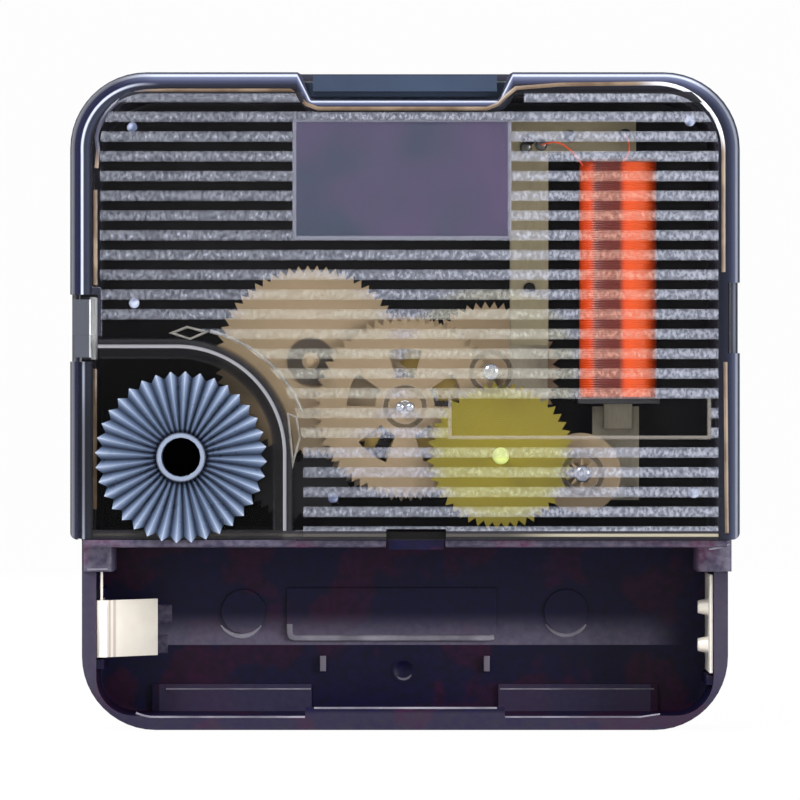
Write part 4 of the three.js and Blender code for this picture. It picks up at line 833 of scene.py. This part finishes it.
beige = colour(146, 126, 98), colour(122, 104, 78)
pale_beige = colour(190, 164, 130), colour(176, 152, 118)
green = colour(130, 118, 8), colour(106, 94, 4)
black = colour(40, 38, 46), colour(22, 21, 28)
wheels = {
    "knob_gear": ("knob_spin", black, 0),
    "setting_idler": ("idler_spin", black, 0),
    "motion_wheel": ("motion_spin", pale_beige, 0),
    "hour_wheel": ("hour_spin", beige, 0),
    "minute_wheel": ("minute_spin", beige, 0),
    "third_wheel": ("third_spin", beige, 2.0 * mm),
    "seconds_wheel": ("seconds_spin", beige, 0),
    "intermediate_wheel": ("intermediate_spin", green, 0),
    "rotor_pinion": ("rotor_spin", beige, 0),
}
for wheel, (joint, tints, hub_shade) in wheels.items():
    dress(wheel, wheel_finish(f"{wheel}_plastic", joint, *tints, hub_shade))


# Metal pieces. Brass for the minute pipe and the bushing, spring steel for the clutch and the
# seconds arbor, plain steel sheet for the stator and core, nickel plate for the contacts.
def metal_finish(name, light, dark, roughness, grain, scale=900, metallic=1.0):
    """Metal with drawn or turned marks, whose noise is scaled along x, depth and z by grain."""
    made = Finish(name, roughness=roughness, metallic=metallic)
    marks = made.noise(scale, 4, grain)
    cloud = made.noise(160)
    made.put("Base Color", made.mix(marks * 0.6 + cloud * 0.4, light, dark))
    made.put("Roughness", roughness - 0.08 + marks * 0.18)
    made.bump(marks, 0.004 * mm, 0.6)
    return made


turned_grain, rolled_grain, drawn_grain = (1, 6, 1), (5, 1, 1), (1, 1, 6)
brass = metal_finish("turned_brass", colour(232, 204, 128), colour(176, 142, 72), 0.3, turned_grain)
steel = metal_finish(
    "spring_steel", colour(214, 216, 220), colour(150, 152, 158), 0.26, turned_grain,
)
sheet_steel = metal_finish(
    "sheet_steel", colour(154, 146, 128), colour(116, 110, 96), 0.46, (6, 1, 1), metallic=0.6,
)
nickel = metal_finish(
    "nickel_plate", colour(255, 250, 240), colour(242, 234, 222), 0.42, rolled_grain,
    metallic=0.25,
)
dress("minute_pipe", brass)
dress("threaded_bushing", brass, bevel=0.12 * mm)
dress("clutch_spring", steel)
dress("seconds_arbor", steel, bevel=0.06 * mm)
dress("stator_plate", sheet_steel, bevel=0.05 * mm)
dress("coil_core", sheet_steel, bevel=0.05 * mm)
dress("negative_contact", nickel, bevel=0.06 * mm)
leaf_nickel = metal_finish(
    "leaf_nickel", colour(255, 250, 240), colour(246, 238, 226), 0.42, rolled_grain, metallic=0.1,
)
# Painted shade: the negative leaf's two bends are darker lines.
fold_shade_lines = leaf_nickel.x.between(-25.0 * mm, -24.82 * mm, 0.05 * mm).at_least(
    leaf_nickel.x.between(-24.62 * mm, -24.4 * mm, 0.06 * mm),
)
leaf_tint = leaf_nickel.mix(leaf_nickel.noise(500), colour(255, 249, 238), colour(240, 230, 216))
leaf_nickel.put("Base Color", leaf_nickel.mix(fold_shade_lines * 0.6, leaf_tint, colour(176, 156, 152)))
dress("negative_leaf", leaf_nickel, bevel=0.06 * mm)
dress("positive_contact", nickel, bevel=0.08 * mm)
can = metal_finish("crystal_can", colour(226, 228, 232), colour(170, 172, 178), 0.22, drawn_grain)
dress("quartz_crystal", can, bevel=0.2 * mm)

magnet = Finish("magnet_dark", roughness=0.4, metallic=0.3)
magnet_grain = magnet.noise(3000)
magnet.put("Base Color", magnet.mix(magnet_grain, colour(46, 46, 50), colour(82, 82, 88)))
magnet.bump(magnet_grain, 0.01 * mm, 0.5)
dress("rotor_magnet", magnet, bevel=0.1 * mm)


# Bushing thread. The brass bushing is threaded for the nut that holds the movement to the dial.
bushing_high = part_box("threaded_bushing")[1]
thread_radius, thread_pitch, thread_rise = 3.9 * mm, 0.75 * mm, 0.2 * mm
thread_sunk, thread_foot_half, thread_crest_half = 0.06 * mm, 0.34 * mm, 0.05 * mm
thread_from, thread_to = 0.55 * mm, bushing_high.y - 0.35 * mm
thread_turns = (thread_to - thread_from) / thread_pitch
points_per_turn = 40
thread_angles = np.linspace(0, thread_turns * math.tau, int(thread_turns * points_per_turn))
thread_side = np.stack([np.cos(thread_angles), 0 * thread_angles, np.sin(thread_angles)], axis=1)
thread_path = thread_side * thread_radius + np.array([0, 0, pivot_axes["seconds_spin"][1]])
thread_path[:, 1] += thread_from + thread_angles / math.tau * thread_pitch
thread_profile = [
    (-thread_sunk, -thread_foot_half), (thread_rise, -thread_crest_half),
    (thread_rise, thread_crest_half), (-thread_sunk, thread_foot_half),
]
thread = sweep(thread_path, thread_side, -away_from_dial, thread_profile)
add_piece("bushing_thread", [thread], brass, "housing", 25)


# Coil. Thousands of turns of enamelled wire on a black bobbin. It is orange, with a band of
# painted shade left of its middle and a painted highlight on its right, where the light falls on
# the round coil.
coil_low, coil_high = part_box("coil_winding")
bobbin_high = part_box("coil_bobbin")[1]
wire_pitch, wire_swell, rows_per_turn = 0.2 * mm, 0.05 * mm, 4
wire_rows = int((coil_high.z - coil_low.z) / wire_pitch) * rows_per_turn
wire_heights = np.linspace(coil_low.z, coil_high.z, wire_rows + 1)
wave = wire_swell * (0.5 - 0.5 * np.cos((wire_heights - coil_low.z) / wire_pitch * math.tau))
coil_centre, coil_half = (coil_low + coil_high) / 2, (coil_high - coil_low) / 2
wire_inset, tube_inset = 0.06 * mm, 1.1 * mm
coil_sides = 64
around = np.arange(coil_sides) * math.tau / coil_sides
circle = np.stack([np.cos(around), np.sin(around)], axis=1)
squareness = 2 / 3.4
outline = np.sign(circle) * np.abs(circle) ** squareness
insets = np.concatenate([wire_inset - wave, [tube_inset, tube_inset]])
coil_heights = np.concatenate([wire_heights, [coil_high.z, coil_low.z]])
coil_points = np.stack([
    coil_centre.x + outline[:, 0] * (coil_half.x - insets[:, None]),
    coil_centre.y + outline[:, 1] * (coil_half.y - insets[:, None]),
    coil_heights[:, None] + 0 * around,
], axis=-1)
coil_faces = grid_faces(len(coil_heights), coil_sides, closed=True)
coil = Finish("winding_orange", roughness=0.4, coat=0.12)
across_coil = (coil.x - coil_low.x) / (coil_high.x - coil_low.x)
coil_shade_band = across_coil.between(0.17, 0.54, 0.05)
coil_highlight = across_coil.between(0.6, 0.9, 0.06)
wire_cloud = coil.noise(420, 4, (3, 1, 0.6))
wire_tint = coil.mix(wire_cloud, colour(234, 80, 14), colour(206, 58, 8))
wire_tint = coil.mix(coil_shade_band * 0.95, wire_tint, colour(84, 14, 4))
wire_tint = coil.mix(coil_highlight * 0.5, wire_tint, colour(246, 96, 20))
coil.put("Base Color", wire_tint)
coil.put("Roughness", 0.3 + wire_cloud * 0.2)
coil_turns = add_piece(
    "coil_turns", [(coil_points.reshape(-1, 3), [coil_faces])], coil, "housing",
    60,
)
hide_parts("coil_winding")

resin = Finish("resin_dark", roughness=0.35, coat=0.2)
resin_grain = resin.noise(1800)
resin.put("Base Color", resin.mix(resin_grain, colour(14, 14, 16), colour(34, 33, 38)))
resin.put("Roughness", 0.28 + resin_grain * 0.2)
dress("coil_bobbin", resin, bevel=0.1 * mm)
dress("chip", resin)


# Circuit board. Tan paper laminate, cut to an L round the train, with a green-brown speckle.
board = Finish("board_tan", roughness=0.55)
board_grain = board.noise(1400, 4, (4, 1, 1))
board_cloud = board.noise(220)
laminate = board.mix(board_grain, colour(126, 116, 90), colour(102, 92, 68))
board.put("Base Color", board.mix(board_cloud * 0.5, laminate, colour(96, 90, 66)))
board.put("Roughness", 0.45 + board_grain * 0.15)
dress("circuit_board", board, bevel=0.04 * mm)


# Solder and coil leads. Each end of the coil's fine wire runs over the bobbin's flange to a pad of
# solder on the board. The wire keeps its orange enamel.
board_face = -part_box("circuit_board")[0].y
solder = metal_finish("solder", colour(120, 120, 118), colour(52, 50, 46), 0.35, (1, 1, 1), 1500)
pad_places = [(10.2 * mm, 49.1 * mm), (11.5 * mm, 49.3 * mm), (18.6 * mm, 50.2 * mm)]
pad_radius, pad_rise, pad_sunk = 0.5 * mm, 0.28 * mm, 0.06 * mm
pad_parts = [dome(place, pad_radius, board_face, pad_rise, pad_sunk) for place in pad_places]
add_piece("solder_pads", pad_parts, solder, "housing")


def lead(start, end, bow, radius, steps=24, sides=8):
    """A round wire from start to end: the straight line + bow times sin of the way along it."""
    way = np.linspace(0, 1, steps)[:, None]
    path = np.array(start) * (1 - way) + np.array(end) * way + np.array(bow) * np.sin(way * math.pi)
    along = np.gradient(path, axis=0)
    along /= np.linalg.norm(along, axis=1, keepdims=True)
    side_way = np.cross(along, [0, 1, 0])
    side_way /= np.linalg.norm(side_way, axis=1, keepdims=True)
    rise_way = np.cross(side_way, along)
    angles = np.arange(sides) * math.tau / sides
    profile = np.stack([radius * np.cos(angles), radius * np.sin(angles)], axis=1)
    return sweep(path, side_way, rise_way, profile)


lead_radius, lead_rise = 0.07 * mm, 0.2 * mm
lead_foot = bobbin_high.z - 0.9 * mm
lead_starts = [(15.0 * mm, -9.9 * mm, lead_foot), (18.2 * mm, -10.15 * mm, lead_foot)]
lead_bows = [(0, -0.5 * mm, 0.9 * mm), (0.5 * mm, -0.4 * mm, 0)]
lead_parts = [
    lead(start, (x, -board_face - lead_rise, z), bow, lead_radius)
    for start, (x, z), bow in zip(lead_starts, pad_places[1:], lead_bows)
]
add_piece("coil_leads", lead_parts, coil, "housing", 60)


# Lower half of the left clip. The case's hook runs on downwards beside the knob's well, and is
# moulded in one with it.
def block(low, high, rounding):
    """A box from low to high in x, depth and z whose outer face has rounded long edges."""
    half = (high[0] - low[0]) / 2
    across = [
        (-half, low[1]), (-half, high[1] - rounding), (-half + rounding, high[1]),
        (half - rounding, high[1]), (half, high[1] - rounding), (half, low[1]),
    ]
    ends = np.array([((low[0] + high[0]) / 2, 0, z) for z in (low[2], high[2])])
    return sweep(ends, to_right, away_from_dial, across)


clip_low = (-27.77 * mm, 12.4 * mm, 31.35 * mm)
clip_high = (-26.33 * mm, 15.38 * mm, 33.22 * mm)
add_piece("clip_foot", [block(clip_low, clip_high, 0.12 * mm)], case, "housing")


# Details of the tray. Corner blocks and a lip under the cover's edge, raised lines that guide the
# cell and stiffen the floor, and two rests by the spring contact. All are moulded in one with the
# case, of the same black plastic. The blocks, the lip and the rests are a paler tone of painted
# sheen, and the light grey of the raised lines and of the lines along the rim, the ledges and the
# corner blocks is painted highlight on their rounded edges.
block_inner_x, block_outer_x, ear_reach = 24.6 * mm, 27.27 * mm, 0.22 * mm
block_depths, block_heights = (2.6 * mm, 11.9 * mm), (13.35 * mm, 16.05 * mm)
corner_parts = []
for side in (-1, 1):
    inner_x, outer_x = sorted((side * block_inner_x, side * block_outer_x + ear_reach))
    corner_parts.append(block(
        (inner_x, block_depths[0], block_heights[0]),
        (outer_x, block_depths[1], block_heights[1]), 0.2 * mm,
    ))
lip_spans = [(-27.0 * mm, -1.6 * mm), (3.4 * mm, 27.0 * mm)]
lip_corners = [
    (13.0 * mm, 16.05 * mm), (14.2 * mm, 16.05 * mm), (14.2 * mm, 15.7 * mm),
    (14.05 * mm, 15.5 * mm), (13.8 * mm, 15.42 * mm), (13.0 * mm, 15.42 * mm),
]
for span in lip_spans:
    lip_ends = np.array([(x, 0, 0) for x in span])
    corner_parts.append(sweep(lip_ends, away_from_dial, to_top, lip_corners))
# Painted sheen: a paler, mottled tone for the blocks, the lip and the rests.
tray_sheen = Finish("case_worn", roughness=0.4, ior=1.36)
sheen_patch = tray_sheen.noise(150).above(0.55, 0.05)
sheen_speck = tray_sheen.noise(1700).above(0.5, 0.25)
sheen_tint = tray_sheen.mix(sheen_patch, colour(52, 48, 72), colour(84, 36, 70))
tray_sheen.put("Base Color", tray_sheen.mix(sheen_speck * 0.8, sheen_tint, colour(104, 98, 116)))
tray_sheen.bump(tray_sheen.noise(5200), 0.012 * mm, 0.5)
add_piece("corner_blocks", corner_parts, tray_sheen, "housing", 60)

floor_depth, rim_depth, ledge_depth, ear_depth = 1.4 * mm, 11.5 * mm, 1.8 * mm, 11.95 * mm
arc_taper = 0.75
guide_line = [(289.5, 624), (289.5, 633), (291, 636.5), (295, 638), (490, 638), (494, 637)]
tray_arcs = [
    ((241, 612), 24, (214, 326, 13), 0.27 * mm), ((566, 611), 24, (214, 326, 13), 0.27 * mm),
    ((403, 669), 10.5, (200, 340, 11), 0.16 * mm),
]
highlight_edges = [
    ([(166, 689), (311, 689)], ledge_depth, 0.07 * mm),
    ([(500, 689), (654, 689)], ledge_depth, 0.07 * mm),
    ([(136, 713), (143, 715.5), (151, 717), (305, 717)], rim_depth, 0.09 * mm),
    ([(314, 708), (497, 708)], rim_depth, 0.09 * mm),
    ([(505, 717), (640, 717), (660, 714)], rim_depth, 0.07 * mm),
    ([(87, 569.5), (108, 569)], ear_depth, 0.09 * mm),
    ([(709, 549), (722, 547), (730, 543.5)], ear_depth, 0.09 * mm),
]
tray_lines = [(guide_line, 1.7 * mm, 0.28 * mm, 0)]
for centre, radius, span, half in tray_arcs:
    tray_lines.append((arc_pixels(centre, radius, *span), floor_depth, half, arc_taper))
tray_lines += [(line, depth, half, 0) for line, depth, half in highlight_edges]
line_flatness = 0.7
line_parts = [
    ridge(line, depth, half, half * line_flatness, taper=taper)
    for line, depth, half, taper in tray_lines
]
# Painted highlight: the light grey of these raised lines and edge lines.
line_grey = Finish("case_line", roughness=0.32, ior=1.45)
line_cloud = line_grey.noise(260)
line_tint = line_grey.mix(line_cloud.above(0.5, 0.2), colour(96, 92, 106), colour(150, 146, 160))
line_grey.put("Base Color", line_tint)
line_grey.put("Roughness", 0.26 + line_cloud * 0.2)
add_piece("tray_lines", line_parts, line_grey, "housing")

rest_pixels = [[(156, 614), (160, 614), (172, 614)], [(155, 644), (160, 644), (168, 644)]]
rest_half, rest_rise = 0.8 * mm, 0.3 * mm
rest_parts = [ridge(line, floor_depth, rest_half, rest_rise) for line in rest_pixels]
add_piece("leaf_rests", rest_parts, tray_sheen, "housing")


# Tail of the negative contact. A narrow strip of the same nickel plate runs up beside the corner
# block, where the real contact leads to the circuit.
tail_low, tail_high = (-25.68 * mm, 10.6 * mm, 10.95 * mm), (-25.46 * mm, 11.0 * mm, 13.3 * mm)
tail = block(tail_low, tail_high, 0.05 * mm)
add_piece("contact_tail", [tail], nickel, "housing")


# Mould mark of the tray. A small raised ring on the tray's floor, of the case's own black plastic.
mark_place, mark_radius, mark_half = (-0.1 * mm, 4.6 * mm), 0.9 * mm, 0.1 * mm
mark_outer, mark_inner = mark_radius + mark_half, mark_radius - mark_half
mark_foot, mark_top = floor_depth - mark_half, floor_depth + mark_half
mark_middle = floor_depth + 0.2 * mark_half
mark_profile = [
    (0, mark_foot), (mark_outer, mark_foot), (mark_outer, mark_top), (mark_inner, mark_top),
    (mark_inner - mark_half, mark_middle), (0, mark_middle),
]
add_piece("tray_mark", [turned(mark_place, mark_profile, 32)], case, "housing")
